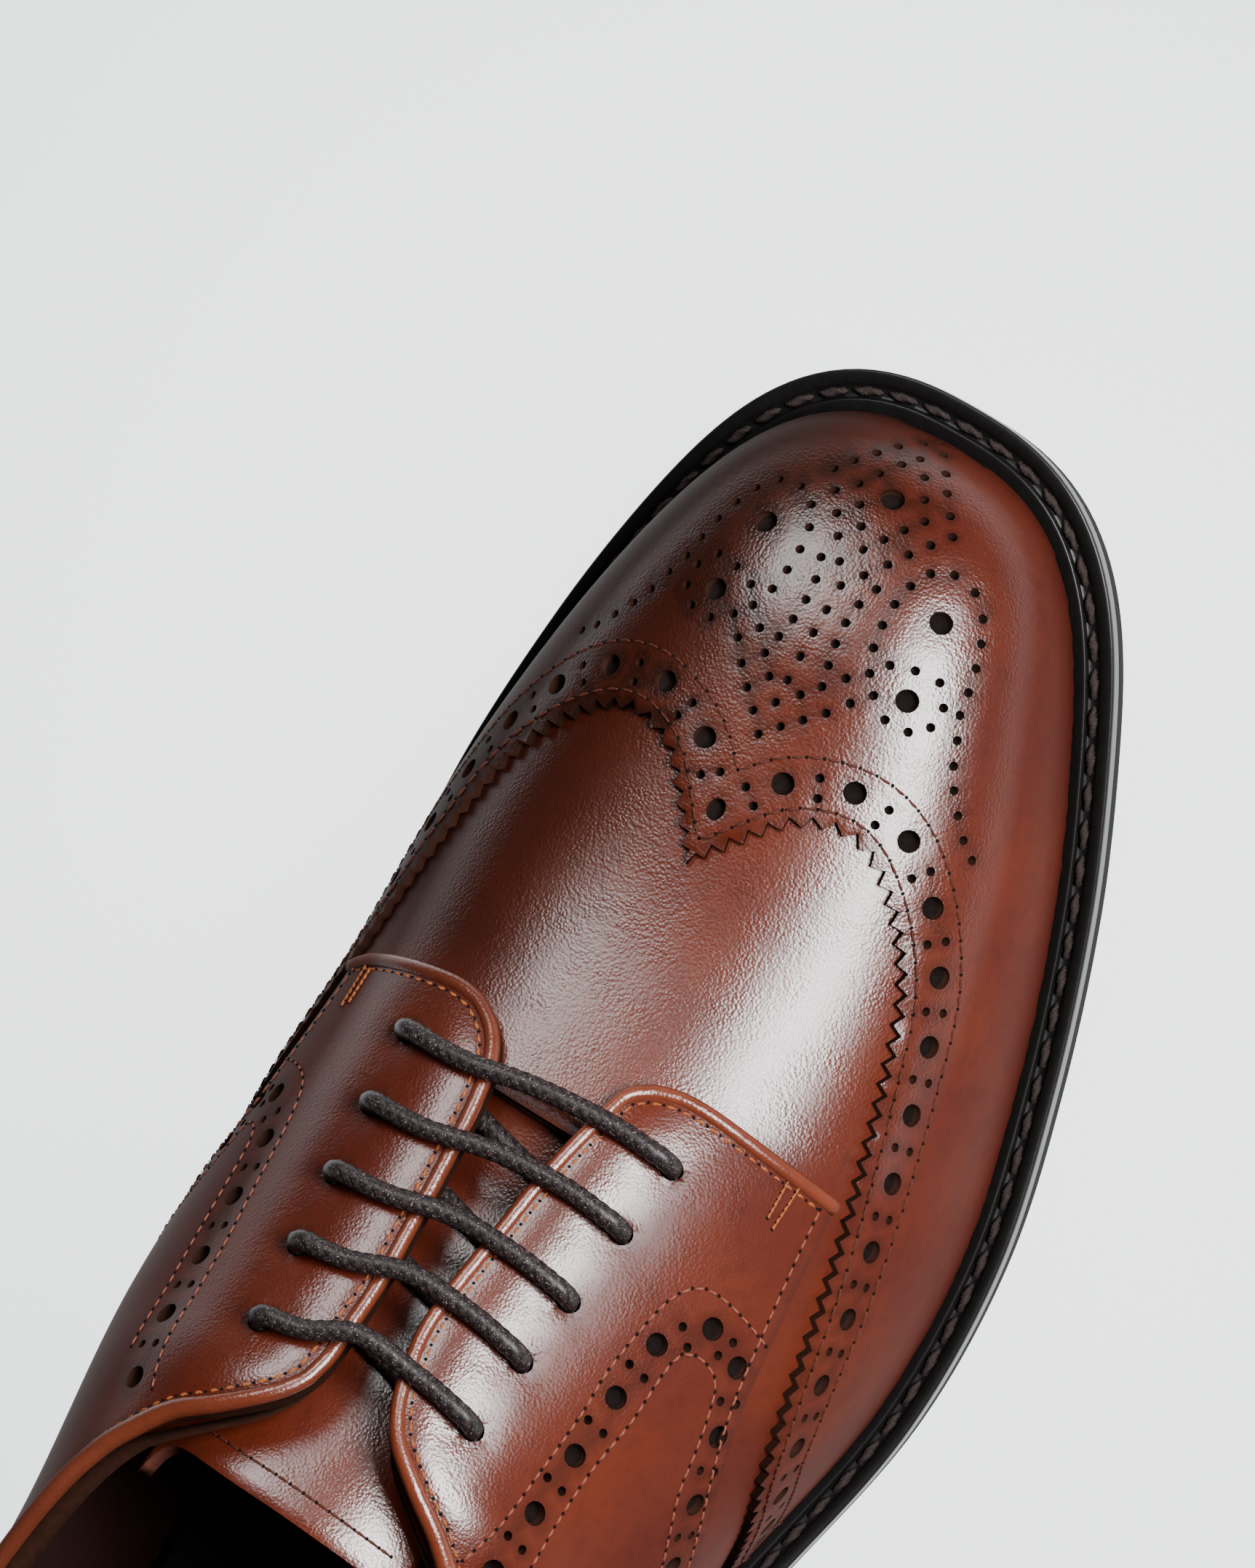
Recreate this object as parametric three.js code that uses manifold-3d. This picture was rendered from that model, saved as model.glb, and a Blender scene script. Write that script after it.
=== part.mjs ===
// A brogued derby shoe for the right foot, empty and standing on its sole.
// Millimetres, +X to the toe, +Y to the inner (medial) side, +Z up.
import * as THREE from "three";
import { mergeVertices } from "three/addons/utils/BufferGeometryUtils.js";
import Module from "manifold-3d";

const wasm = await Module();
wasm.setup();

// Driving sizes of the last
const length = 296; // feather line, heel back to toe tip
const ballWidth = 89.3; // feather line across the ball
const instepHeight = 78.4; // crest above the feather line at mid length
const backHeight = 62; // heel back of the topline above the feather line
const sideHeight = 56; // outer side of the topline above the feather line
const heelLift = 25.4; // heel seat of the outsole above the floor
const toeSpring = 12.7; // rise of the outsole at the toe

// Driving sizes of the bottom
const outsoleThickness = 4.8;
const weltThickness = 3.5;
const weltWidth = 7; // past the feather line, from the waist to the toe
const seatWidth = 4.4; // the same at the heel
const toeExtra = 0.9; // added to the welt in front of the toe
const insoleThickness = 3;
const topPieceThickness = 6;
const edgeStep = 0.45; // outsole set back under the welt

// Driving sizes of the upper
const wall = 2; // vamp, quarters and lining together
const overlay = 1.3; // a cut piece laid on the upper
const tongueThickness = 2.2;
const tongueDrop = 3; // room for the lace between facing and tongue
const laceDiameter = 2.8;
const eyeletBore = 4.2;
const clearance = 0.3; // between curved pieces that touch
const bedding = 0.75; // the same under an overlay, whose facets differ from the upper's

// Shapes of the last: superellipse powers and the lengths that they close over
const fanAt = 0.12 * length; // ribs turn about this station to close the heel
const heelPower = 2.15;
const toeReach = 0.486 * length;
const toePower = 2.76;
const crestReach = 0.115 * length;
const crestPower = 2.3;
const spreadPower = 0.8;
const dropPower = 0.88;

// Sections of the last. Widths, swing and bellies are shares of the ball width, the crest is a share
// of the instep height above the feather line, lift and spring are shares of heelLift and toeSpring.
const sectionColumns = "at outer inner swing lift spring crest outerBelly innerBelly".split(" ");
const sections = rows(sectionColumns, [
  [0.12, 0.364, 0.364, 0.0, 1.0, 0.0, 1.41, 0.012, 0.014],
  [0.2, 0.37, 0.36, 0.0, 0.905, 0.0, 1.357, 0.02, 0.022],
  [0.3, 0.377, 0.338, 0.003, 0.7, 0.0, 1.245, 0.034, 0.04],
  [0.4, 0.405, 0.343, 0.01, 0.4, 0.0, 1.133, 0.045, 0.056],
  [0.5, 0.473, 0.411, 0.02, 0.15, 0.0, 1.0, 0.05, 0.05],
  [0.6, 0.529, 0.451, 0.01, 0.024, 0.0, 0.831, 0.03, 0.034],
  [0.68, 0.541, 0.459, 0.017, 0.0, 0.0, 0.695, 0.022, 0.022],
  [0.76, 0.515, 0.473, 0.026, 0.0, 0.063, 0.569, 0.022, 0.022],
  [0.84, 0.482, 0.47, 0.035, 0.0, 0.26, 0.468, 0.022, 0.022],
  [0.92, 0.451, 0.46, 0.048, 0.0, 0.59, 0.365, 0.022, 0.022],
  [1.0, 0.45, 0.466, 0.062, 0.0, 1.0, 0.265, 0.022, 0.022],
]);

// The heel's back curve: up is a share of backHeight, out a share of fanAt
const backCurve = rows(["up", "out"], [
  [0, 0],
  [0.25, 0.07],
  [0.5, 0.085],
  [0.8, 0.02],
  [1, -0.05],
]);

// The topline's height above the heel seat: outer and inner are shares of sideHeight, and back is
// the share that is added of what backHeight has more than sideHeight
const topline = rows(["at", "outer", "inner", "back"], [
  [0, 1.0, 1.0, 1.0],
  [0.04, 0.995, 0.995, 0.8],
  [0.12, 0.937, 0.947, 0.4],
  [0.22, 0.88, 0.92, 0.1],
  [0.34, 0.86, 0.94, 0],
  [0.44, 0.9, 0.985, 0],
  [0.51, 0.925, 1.0, 0],
]);

// The facing's edge from its front corner back to the topline: at is a share of the length,
// girth a share of the ball width, measured down from the crest
const facingEdge = rows(["at", "girth"], [
  [0.7045, 0.152],
  [0.7045, 0.118],
  [0.698, 0.096],
  [0.677, 0.082],
  [0.64, 0.064],
  [0.6, 0.052],
  [0.566, 0.044],
  [0.549, 0.054],
  [0.534, 0.085],
]);

// The quarter's lower front edge, from the facing's outer corner down to the feather line
const quarterSeam = rows(["at", "girth"], [
  [0.695, 0.456],
  [0.667, 0.469],
  [0.626, 0.496],
  [0.593, 0.53],
  [0.56, 0.6],
  [0.515, 0.74],
  [0.47, 0.92],
]);

// The wing cap's edge from its tip on the crest, round the lobe and down to the feather line
const wingEdge = rows(["at", "girth"], [
  [0.8, 0.0],
  [0.808, 0.04],
  [0.823, 0.086],
  [0.832, 0.12],
  [0.837, 0.165],
  [0.836, 0.205],
  [0.828, 0.25],
  [0.81, 0.31],
  [0.785, 0.366],
  [0.75, 0.41],
  [0.71, 0.458],
  [0.66, 0.52],
  [0.617, 0.577],
  [0.584, 0.642],
  [0.557, 0.726],
  [0.528, 0.868],
  [0.508, 0.985],
]);

// Eyelet places on the facing
const eyelets = rows(["at", "girth"], [
  [0.6715, 0.219],
  [0.6385, 0.206],
  [0.606, 0.194],
  [0.5745, 0.176],
  [0.5415, 0.166],
]);

const tongueTip = 0.484 * length;
const tongueRoot = 0.72 * length;
const tongueTopWidth = 0.29 * ballWidth; // half of it, along the skin
const tongueRootWidth = 0.2 * ballWidth;
const heelBreast = 0.262 * length;
const seatEnd = 0.42 * length; // the welt has its full width from here on
const flatSink = 0.3; // levels the tread under the ball
const heelTaper = 1.2;

// How finely the skins are divided
const upperSteps = { heel: 8, quarter: 11, facing: 6, throat: 16, down: 11 };
const quarterSteps = { facing: 8, corner: 5, side: 10, heel: 8, down: 9 };
const capSteps = { side: 10, lobe: 13, down: 8 };
const footCrowding = 1.5; // rows crowd towards the feather line, where the toe turns under

function rows(names, values) {
  return values.map((row) => Object.fromEntries(row.map((value, i) => [names[i], value])));
}

// A smooth curve through a table's column, straight past its ends
function follow(table, key, name, at) {
  const last = table.length - 2;
  let i = 0;
  while (i < last && at > table[i + 1][key]) i += 1;
  const step = (k) => table[k + 1][key] - table[k][key];
  const slope = (k) => (table[k + 1][name] - table[k][name]) / step(k);
  const tangent = (k) => {
    if (k === 0) return slope(0);
    if (k === last + 1) return slope(last);
    return (slope(k - 1) * step(k) + slope(k) * step(k - 1)) / (step(k) + step(k - 1));
  };
  const t = (at - table[i][key]) / step(i);
  if (t < 0) return table[i][name] + tangent(i) * (at - table[i][key]);
  if (t > 1) return table[i + 1][name] + tangent(i + 1) * (at - table[i + 1][key]);
  const a = table[i][name];
  const b = table[i + 1][name];
  const ends = (1 + 2 * t) * (1 - t) ** 2 * a + t * t * (3 - 2 * t) * b;
  return ends + (t * (1 - t) ** 2 * tangent(i) + t * t * (t - 1) * tangent(i + 1)) * step(i);
}

function closing(x, reach, power) {
  const u = Math.min(Math.max((x - (length - reach)) / reach, 0), 1);
  return Math.max(1 - u ** power, 0) ** (1 / power);
}

// Height of the feather line, where the upper meets the welt
const edgeThickness = outsoleThickness + clearance + weltThickness;

function featherHeight(x) {
  const at = Math.max(x / length, sections[0].at);
  const lift = Math.max(follow(sections, "at", "lift", at), 0);
  const spring = Math.max(follow(sections, "at", "spring", at), 0);
  return edgeThickness + heelLift * lift + toeSpring * spring;
}

function section(s) {
  const x = Math.max(s, fanAt);
  const share = (name) => follow(sections, "at", name, x / length);
  const toe = closing(x, toeReach, toePower);
  return {
    outer: share("outer") * ballWidth * toe,
    inner: share("inner") * ballWidth * toe,
    outerBelly: share("outerBelly") * ballWidth * toe,
    innerBelly: share("innerBelly") * ballWidth * toe,
    swing: share("swing") * ballWidth,
    foot: featherHeight(x),
    rise: share("crest") * instepHeight * closing(x, crestReach, crestPower),
  };
}

// A point of the last. s runs from the heel back to the toe tip; turn runs from -1 on the outer
// feather line over 0 on the crest to 1 on the inner one. Behind fanAt the ribs fan round the heel.
const bellyPeak = 2.6; // makes the belly's largest width equal to its named size

function lastPoint(s, turn) {
  const size = section(s);
  const side = turn < 0 ? -1 : 1;
  const sin = Math.sin((Math.abs(turn) * Math.PI) / 2);
  const cos = Math.max(Math.cos((Math.abs(turn) * Math.PI) / 2), 0);
  const width = side < 0 ? size.outer : size.inner;
  const belly = side < 0 ? size.outerBelly : size.innerBelly;
  const half = width * sin ** spreadPower + belly * bellyPeak * sin * sin * cos;
  const up = size.rise * cos ** dropPower;
  if (s >= fanAt) return new THREE.Vector3(s, size.swing + side * half, size.foot + up);
  const heel = Math.min(up / backHeight, backCurve.at(-1).up);
  const reach = fanAt * (1 + follow(backCurve, "up", "out", heel));
  const angle = (Math.PI / 2) * (1 + (fanAt - Math.max(s, 0)) / fanAt);
  const along = Math.abs(Math.cos(angle)) / reach;
  const across = Math.abs(Math.sin(angle)) / Math.max(half, 1e-6);
  const radius = (along ** heelPower + across ** heelPower) ** (-1 / heelPower);
  const x = fanAt + radius * Math.cos(angle);
  return new THREE.Vector3(x, size.swing + side * radius * Math.sin(angle), size.foot + up);
}

const nearTip = 0.02;
const slopeStep = { s: 0.3, turn: 0.004 };

function lastNormal(s, turn) {
  const ahead = lastPoint(Math.min(s + slopeStep.s, length - nearTip), turn);
  const along = ahead.sub(lastPoint(Math.max(s - slopeStep.s, 0), turn));
  const over = lastPoint(s, Math.min(turn + slopeStep.turn, 1));
  const across = over.sub(lastPoint(s, Math.max(turn - slopeStep.turn, -1)));
  return along.cross(across).normalize();
}

// Girth from the crest down one rib, against its turn
const girthSteps = 48;
const girthCache = new Map();

function girths(s, side) {
  const key = `${s.toFixed(3)} ${side}`;
  if (!girthCache.has(key)) {
    const table = [{ turn: 0, girth: 0 }];
    let before = lastPoint(s, 0);
    for (let i = 1; i <= girthSteps; i += 1) {
      const here = lastPoint(s, (side * i) / girthSteps);
      const girth = table[i - 1].girth + here.distanceTo(before);
      table.push({ turn: i / girthSteps, girth });
      before = here;
    }
    girthCache.set(key, table);
  }
  return girthCache.get(key);
}

function between(table, from, to, value) {
  let i = 0;
  while (i < table.length - 2 && value > table[i + 1][from]) i += 1;
  const span = table[i + 1][from] - table[i][from];
  const t = Math.min(Math.max((value - table[i][from]) / (span || 1), 0), 1);
  return table[i][to] + t * (table[i + 1][to] - table[i][to]);
}

// A place on the skin is { s, girth }, the girth negative on the outer side
function place(s, girth) {
  return { s: Math.min(s, length - nearTip), girth };
}

function footGirth(s, side) {
  return girths(Math.min(s, length - nearTip), side).at(-1).girth;
}

function onFoot(s, side, lift) {
  return place(s, side * Math.max(footGirth(s, side) - lift, 0));
}

function atHeight(s, side, height) {
  const size = section(s);
  const share = Math.min(Math.max((height - size.foot) / size.rise, 0), 1);
  const turn = Math.acos(share ** (1 / dropPower)) / (Math.PI / 2);
  return place(s, side * between(girths(s, side), "turn", "girth", turn));
}

function skin({ s, girth }, out) {
  const side = girth < 0 ? -1 : 1;
  const turn = side * between(girths(s, side), "girth", "turn", Math.abs(girth));
  return lastPoint(s, turn).addScaledVector(lastNormal(s, turn), out);
}

// Walks a line of places and gives count + 1 of them, evenly spaced on the skin
function evenly(line, count) {
  const table = [{ at: 0, s: line[0].s, girth: line[0].girth }];
  for (let i = 1; i < line.length; i += 1) {
    const step = skin(line[i], 0).distanceTo(skin(line[i - 1], 0));
    table.push({ at: table[i - 1].at + step, s: line[i].s, girth: line[i].girth });
  }
  const total = table.at(-1).at;
  return Array.from({ length: count + 1 }, (_, i) => {
    const at = (total * i) / count;
    return place(between(table, "at", "s", at), between(table, "at", "girth", at));
  });
}

// The same in two stretches, so that the round of the heel gets its own steps
function splitAt(line, s, before, after) {
  const cross = line.findIndex((p, i) => i > 0 && (line[i - 1].s - s) * (p.s - s) <= 0);
  const [a, b] = [line[cross - 1], line[cross]];
  const k = (s - a.s) / (b.s - a.s);
  const point = place(s, a.girth + (b.girth - a.girth) * k);
  return join(
    evenly([...line.slice(0, cross), point], before),
    evenly([point, ...line.slice(cross)], after),
  );
}

const pieces = 6; // of a smooth line, for each row of its table

function smooth(table, side) {
  const curve = new THREE.CatmullRomCurve3(
    table.map((row) => new THREE.Vector3(row.at * length, side * row.girth * ballWidth, 0)),
  );
  const points = curve.getPoints(pieces * (table.length - 1));
  return points.map((p) => place(p.x, side * Math.min(Math.abs(p.y), footGirth(p.x, side))));
}

function join(...lines) {
  return lines.reduce((all, line) => all.concat(all.length ? line.slice(1) : line), []);
}

const between01 = (value) => Math.min(Math.max(value, 0), 1);

const range = (from, to, count) =>
  Array.from({ length: count + 1 }, (_, i) => from + ((to - from) * i) / count);

// Foot stations crowd together at the toe, where the outline turns across
function footLine(from, to, side, lift, steps = 40) {
  const toe = length - toeReach;
  const angle = (s) => Math.asin(between01((s - toe) / toeReach) ** (toePower / 2));
  const straight = from < toe ? range(from, Math.min(to, toe), steps) : [];
  const round = to > toe ? range(angle(from), angle(to), steps) : [];
  const turned = round.map((k) => toe + toeReach * Math.sin(k) ** (2 / toePower));
  return join(straight, turned).map((s) => onFoot(s, side, lift));
}

function toplineHeight(s, side) {
  const share = (name) => follow(topline, "at", name, s / length);
  const extra = (backHeight - sideHeight) * share("back");
  return edgeThickness + heelLift + sideHeight * share(side < 0 ? "outer" : "inner") + extra;
}

// The topline from the facing's top corner back to the heel
function toplineLine(side) {
  const from = facingEdge.at(-1).at * length;
  const blend = range(0, 1, 40).map((k) => from * (1 - k));
  const corner = facingEdge.at(-1).girth * ballWidth;
  const flow = 0.05 * length; // the corner's round runs out over this
  return blend.map((s) => {
    const rest = atHeight(s, side, toplineHeight(s, side));
    const k = Math.max(1 - (from - s) / flow, 0) ** 2;
    return place(s, side * (Math.abs(rest.girth) * (1 - k) + corner * k));
  });
}

// Closed solids from grids of points
const weld = 1e-4; // points closer than this are one

function solidFrom(points, faces) {
  const geometry = new THREE.BufferGeometry();
  const flat = points.flatMap((p) => [p.x, p.y, p.z]);
  geometry.setAttribute("position", new THREE.Float32BufferAttribute(flat, 3));
  geometry.setIndex(faces);
  return outward(mergeVertices(geometry, weld));
}

function outward(geometry) {
  const at = (i) => new THREE.Vector3().fromBufferAttribute(geometry.attributes.position, i);
  const index = Array.from(geometry.index.array);
  const kept = [];
  let volume = 0;
  for (let i = 0; i < index.length; i += 3) {
    const [a, b, c] = index.slice(i, i + 3);
    if (a === b || b === c || c === a) continue;
    kept.push(a, b, c);
    volume += at(a).dot(at(b).cross(at(c)));
  }
  if (volume < 0) kept.reverse();
  geometry.setIndex(kept);
  return geometry;
}

// A wall between two offsets of the skin, from one line of places to another. sink lowers it by
// station.
function panel(edge, foot, { inner, outer, down, crowding = 1, closed = false, sink = () => 0 }) {
  const points = [];
  const columns = closed ? edge.length - 1 : edge.length;
  for (const out of [outer, inner]) {
    for (let v = 0; v <= down; v += 1) {
      const k = 1 - (1 - v / down) ** crowding;
      for (let u = 0; u < columns; u += 1) {
        const s = edge[u].s + (foot[u].s - edge[u].s) * k;
        const girth = edge[u].girth + (foot[u].girth - edge[u].girth) * k;
        points.push(skin(place(s, girth), out - sink(s)));
      }
    }
  }
  const under = (down + 1) * columns;
  const faces = [];
  const quad = (a, b, c, d) => faces.push(a, b, c, a, c, d);
  const last = closed ? columns : columns - 1;
  for (let u = 0; u < last; u += 1) {
    const next = (u + 1) % columns;
    for (let v = 0; v < down; v += 1) {
      const [a, b] = [v * columns, (v + 1) * columns];
      quad(a + u, b + u, b + next, a + next);
      quad(under + a + u, under + a + next, under + b + next, under + b + u);
    }
    const end = down * columns;
    quad(u, next, under + next, under + u);
    quad(end + u, under + end + u, under + end + next, end + next);
  }
  if (!closed) {
    for (let v = 0; v < down; v += 1) {
      const [a, b] = [v * columns, (v + 1) * columns];
      quad(a, under + a, under + b, b);
      quad(a + last, b + last, under + b + last, under + a + last);
    }
  }
  return solidFrom(points, faces);
}

// Booleans
function toManifold(geometry) {
  const mesh = new wasm.Mesh({
    numProp: 3,
    vertProperties: Float32Array.from(geometry.attributes.position.array),
    triVerts: Uint32Array.from(geometry.index.array),
  });
  return new wasm.Manifold(mesh);
}

function fromManifold(solid) {
  const mesh = solid.getMesh();
  const geometry = new THREE.BufferGeometry();
  geometry.setAttribute("position", new THREE.BufferAttribute(mesh.vertProperties, 3));
  geometry.setIndex(new THREE.BufferAttribute(mesh.triVerts, 1));
  return geometry;
}

function cut(geometry, tools) {
  let solid = toManifold(geometry);
  for (const tool of tools) solid = solid.subtract(toManifold(tool));
  return fromManifold(largest(solid));
}

function largest(solid) {
  const parts = solid.decompose();
  return parts.reduce((best, part) => (part.volume() > best.volume() ? part : best));
}

// Plan outlines of the bottom, back to front on each side, grown past the feather line. Their
// corners lie closer together where the line bends.
const outlineSteps = 24;
const fineSteps = 120; // for each half of the foot line
const bendLength = 60; // one radian of bend counts as this length

function planLine(side) {
  const plan = footLine(0, length, side, 0, fineSteps).map((p) => skin(p, 0).setZ(0));
  plan[plan.length - 1] = new THREE.Vector3(length, section(length - nearTip).swing, 0);
  return plan;
}

function cornersOf(plan) {
  const corners = [{ at: 0, i: 0 }];
  for (let i = 1; i < plan.length; i += 1) {
    const step = plan[i].clone().sub(plan[i - 1]);
    const bend = i > 1 ? step.angleTo(plan[i - 1].clone().sub(plan[i - 2])) : 0;
    corners.push({ at: corners[i - 1].at + step.length() + bendLength * bend, i });
  }
  const stations = range(0, corners.at(-1).at, outlineSteps);
  return stations.map((at) => Math.round(between(corners, "at", "i", at)));
}

const plans = { outer: planLine(-1), inner: planLine(1) };
const planCorners = cornersOf(plans.outer);

function outlineSide(side, grow, until = Infinity) {
  const plan = side < 0 ? plans.outer : plans.inner;
  const grown = plan.map((p, i) => {
    const along = plan[Math.min(i + 1, plan.length - 1)].clone().sub(plan[Math.max(i - 1, 0)]);
    const normal = new THREE.Vector3(-along.y * side, along.x * side, 0).normalize();
    if (i === 0) normal.set(-1, 0, 0);
    if (i === plan.length - 1) normal.set(1, 0, 0);
    return p.clone().addScaledVector(normal, grow(p.x));
  });
  if (until === Infinity) return planCorners.map((i) => grown[i]);
  const kept = planCorners.filter((i) => plans.outer[i].x < until - weltWidth).map((i) => grown[i]);
  const after = grown.findIndex((p) => p.x >= until);
  const [near, far] = [grown[after - 1], grown[after]];
  return [...kept, near.clone().lerp(far, (until - near.x) / (far.x - near.x))];
}

function outline(grow, until) {
  const outer = outlineSide(-1, grow, until);
  const inner = outlineSide(1, grow, until);
  return { outer, loop: outer.concat(inner.slice(1, until ? undefined : -1).reverse()) };
}

// Stacked levels of outlines, each with a grow function and a height function
function stacked(levels, until) {
  const rings = levels.map(({ grow, height }) => {
    const { outer, loop } = outline(grow, until);
    const raise = (p) => new THREE.Vector3(p.x, p.y, height(p.x));
    return { half: outer.length - 1, loop: loop.map(raise) };
  });
  const count = rings[0].loop.length;
  const faces = [];
  const quad = (a, b, c, d) => faces.push(a, b, c, a, c, d);
  for (let k = 0; k < rings.length - 1; k += 1) {
    for (let i = 0; i < count; i += 1) {
      const next = (i + 1) % count;
      quad(k * count + i, (k + 1) * count + i, (k + 1) * count + next, k * count + next);
    }
  }
  const mirror = (i) => (i === 0 ? 0 : count - i);
  const { half } = rings[0];
  for (const [ring, flip] of [[0, false], [rings.length - 1, true]]) {
    for (let i = 0; i < half; i += 1) {
      const corners = [i, i + 1, mirror(i + 1), mirror(i)].map((j) => ring * count + (j % count));
      quad(...(flip ? corners.reverse() : corners));
    }
  }
  return solidFrom(rings.flatMap((ring) => ring.loop), faces);
}

// A ring whose section is a list of corners, each with grow and height functions
function ringed(corners) {
  const loops = corners.map(({ grow, height }) =>
    outline(grow).loop.map((p) => new THREE.Vector3(p.x, p.y, height(p.x))),
  );
  const count = loops[0].length;
  const faces = [];
  for (let k = 0; k < corners.length; k += 1) {
    const other = (k + 1) % corners.length;
    for (let i = 0; i < count; i += 1) {
      const next = (i + 1) % count;
      const [a, b, c, d] = [k * count + i, other * count + i, other * count + next, k * count + next];
      faces.push(a, b, c, a, c, d);
    }
  }
  return solidFrom(loops.flat(), faces);
}

function weltReach(x) {
  const waist = between01((x - heelBreast) / (seatEnd - heelBreast));
  const ease = waist * waist * (3 - 2 * waist);
  const toe = between01((x - (length - crestReach * 2)) / (crestReach * 2)) ** 2;
  return seatWidth + (weltWidth - seatWidth) * ease + toeExtra * toe;
}

const treadHeight = (x) => Math.max(featherHeight(x) - edgeThickness - flatSink, 0);
const weltUnder = (x) => featherHeight(x) - weltThickness;

function outsole() {
  const grow = (x) => weltReach(x) - edgeStep;
  const chamfer = 0.7;
  return stacked([
    { grow, height: (x) => weltUnder(x) - clearance },
    { grow, height: (x) => treadHeight(x) + chamfer },
    { grow: (x) => grow(x) - chamfer, height: treadHeight },
  ]);
}

const weltInside = -8; // the welt runs this far in under the upper and the insole

function welt() {
  return ringed([
    { grow: weltReach, height: featherHeight },
    { grow: () => weltInside, height: featherHeight },
    { grow: () => weltInside, height: weltUnder },
    { grow: weltReach, height: weltUnder },
  ]);
}

function heelLevels(top, bottom) {
  const taper = (height) => (x) => weltReach(x) - edgeStep - heelTaper * (1 - height / heelLift);
  return [
    { grow: taper(heelLift), height: top },
    { grow: taper(0), height: bottom },
  ];
}

function heelStack() {
  return stacked(
    heelLevels((x) => treadHeight(x) - clearance, () => topPieceThickness + clearance),
    heelBreast,
  );
}

function topPiece() {
  const levels = heelLevels(() => topPieceThickness, () => 0);
  levels[0].grow = levels[1].grow;
  return stacked(levels, heelBreast);
}

function insole() {
  const fit = () => -(wall + bedding + 2 * clearance);
  const core = () => weltInside - 2 * clearance;
  const over = (lift) => (x) => featherHeight(x) + lift;
  return stacked([
    { grow: fit, height: over(clearance + insoleThickness) },
    { grow: fit, height: over(clearance) },
    { grow: core, height: over(clearance) },
    { grow: core, height: (x) => weltUnder(x) },
  ]);
}

// The upper's opening, from the heel back round the outer side, the throat and the inner side
const facingSetback = 1.2; // the vamp and lining stop this far behind the facing's edge
const throatTuck = 0.03 * length; // the vamp's own edge lies this far back under the facings
const waistAt = 0.56 * length; // the foot line's steps change here
const ballAt = 0.8 * length; // and here

function openingSide(side) {
  const edge = smooth(facingEdge, side);
  const corner = edge.map((p) => place(p.s - facingSetback, p.girth + side * facingSetback));
  return {
    collar: splitAt(toplineLine(side).reverse(), fanAt, upperSteps.heel, upperSteps.quarter),
    facing: evenly(corner.slice(pieces).reverse(), upperSteps.facing),
  };
}

function upperLines(lift) {
  const outer = openingSide(-1);
  const inner = openingSide(1);
  const front = [outer.facing.at(-1), inner.facing.at(-1)];
  const throatAt = front[0].s - throatTuck;
  const throat = range(front[0].girth, front[1].girth, upperSteps.throat).map((girth) =>
    place(throatAt, girth),
  );
  const facing = ({ collar, facing: line }, end) =>
    evenly([collar.at(-1), ...line.filter((p) => p.s < throatAt - wall), end], upperSteps.facing);
  const outerEdge = join(outer.collar, facing(outer, throat[0]));
  const innerEdge = join(inner.collar, facing(inner, throat.at(-1)));
  const foot = (side) => [
    splitAt(footLine(0, waistAt, side, lift), fanAt, upperSteps.heel, upperSteps.quarter),
    evenly(footLine(waistAt, ballAt, side, lift), upperSteps.facing),
  ];
  const [quarterOuter, ballOuter] = foot(-1);
  const [quarterInner, ballInner] = foot(1);
  const toe = evenly(
    join(footLine(ballAt, length, -1, lift), footLine(ballAt, length, 1, lift).reverse()),
    upperSteps.throat,
  );
  return {
    edge: join(outerEdge, throat, innerEdge.reverse()),
    foot: join(quarterOuter, ballOuter, toe, ballInner.reverse(), quarterInner.reverse()),
  };
}

function upperWall(inner, outer) {
  const { edge, foot } = upperLines(clearance * 2);
  const shape = { inner, outer, down: upperSteps.down, crowding: footCrowding, closed: true };
  return panel(edge, foot, shape);
}

function eyeletPlaces(side) {
  return eyelets.map((row) => place(row.at * length, side * row.girth * ballWidth));
}

function eyeletCutters(side) {
  const depth = 4 * (wall + overlay);
  return eyeletPlaces(side).map((where) => {
    const cutter = new THREE.CylinderGeometry(eyeletBore / 2, eyeletBore / 2, depth, 10);
    const normal = skin(where, 1).sub(skin(where, 0)).normalize();
    const turned = new THREE.Quaternion().setFromUnitVectors(new THREE.Vector3(0, 1, 0), normal);
    cutter.applyQuaternion(turned).translate(...skin(where, 0).toArray());
    cutter.deleteAttribute("normal");
    cutter.deleteAttribute("uv");
    return mergeVertices(cutter, weld);
  });
}

function upper() {
  return cut(upperWall(-wall, 0), [...eyeletCutters(-1), ...eyeletCutters(1)]);
}

function quarter(side) {
  const lift = clearance * 3;
  const edge = smooth(facingEdge, side);
  const back = clearance; // half of the gap at the back seam
  const top = toplineLine(side).filter((p) => p.s > back);
  const waist = quarterSeam.at(-1).at * length;
  const seam = smooth(quarterSeam, side);
  seam[seam.length - 1] = onFoot(waist, side, lift);
  const { facing, corner, side: along, heel } = quarterSteps;
  const edgeLine = join(evenly(edge, facing), splitAt(top, fanAt, corner + along, heel));
  const rest = splitAt(footLine(waist, back, side, lift), fanAt, along, heel);
  const footEdge = join(evenly(seam, facing + corner), rest);
  const shape = { inner: bedding, outer: bedding + overlay, down: quarterSteps.down };
  return cut(panel(edgeLine, footEdge, shape), eyeletCutters(side));
}

const lobeEnd = 0.75 * length; // the wing's lobe ends and its arm begins
const toeTurn = 0.86 * length; // the cap's foot line has the lobe's steps from here on

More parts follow.
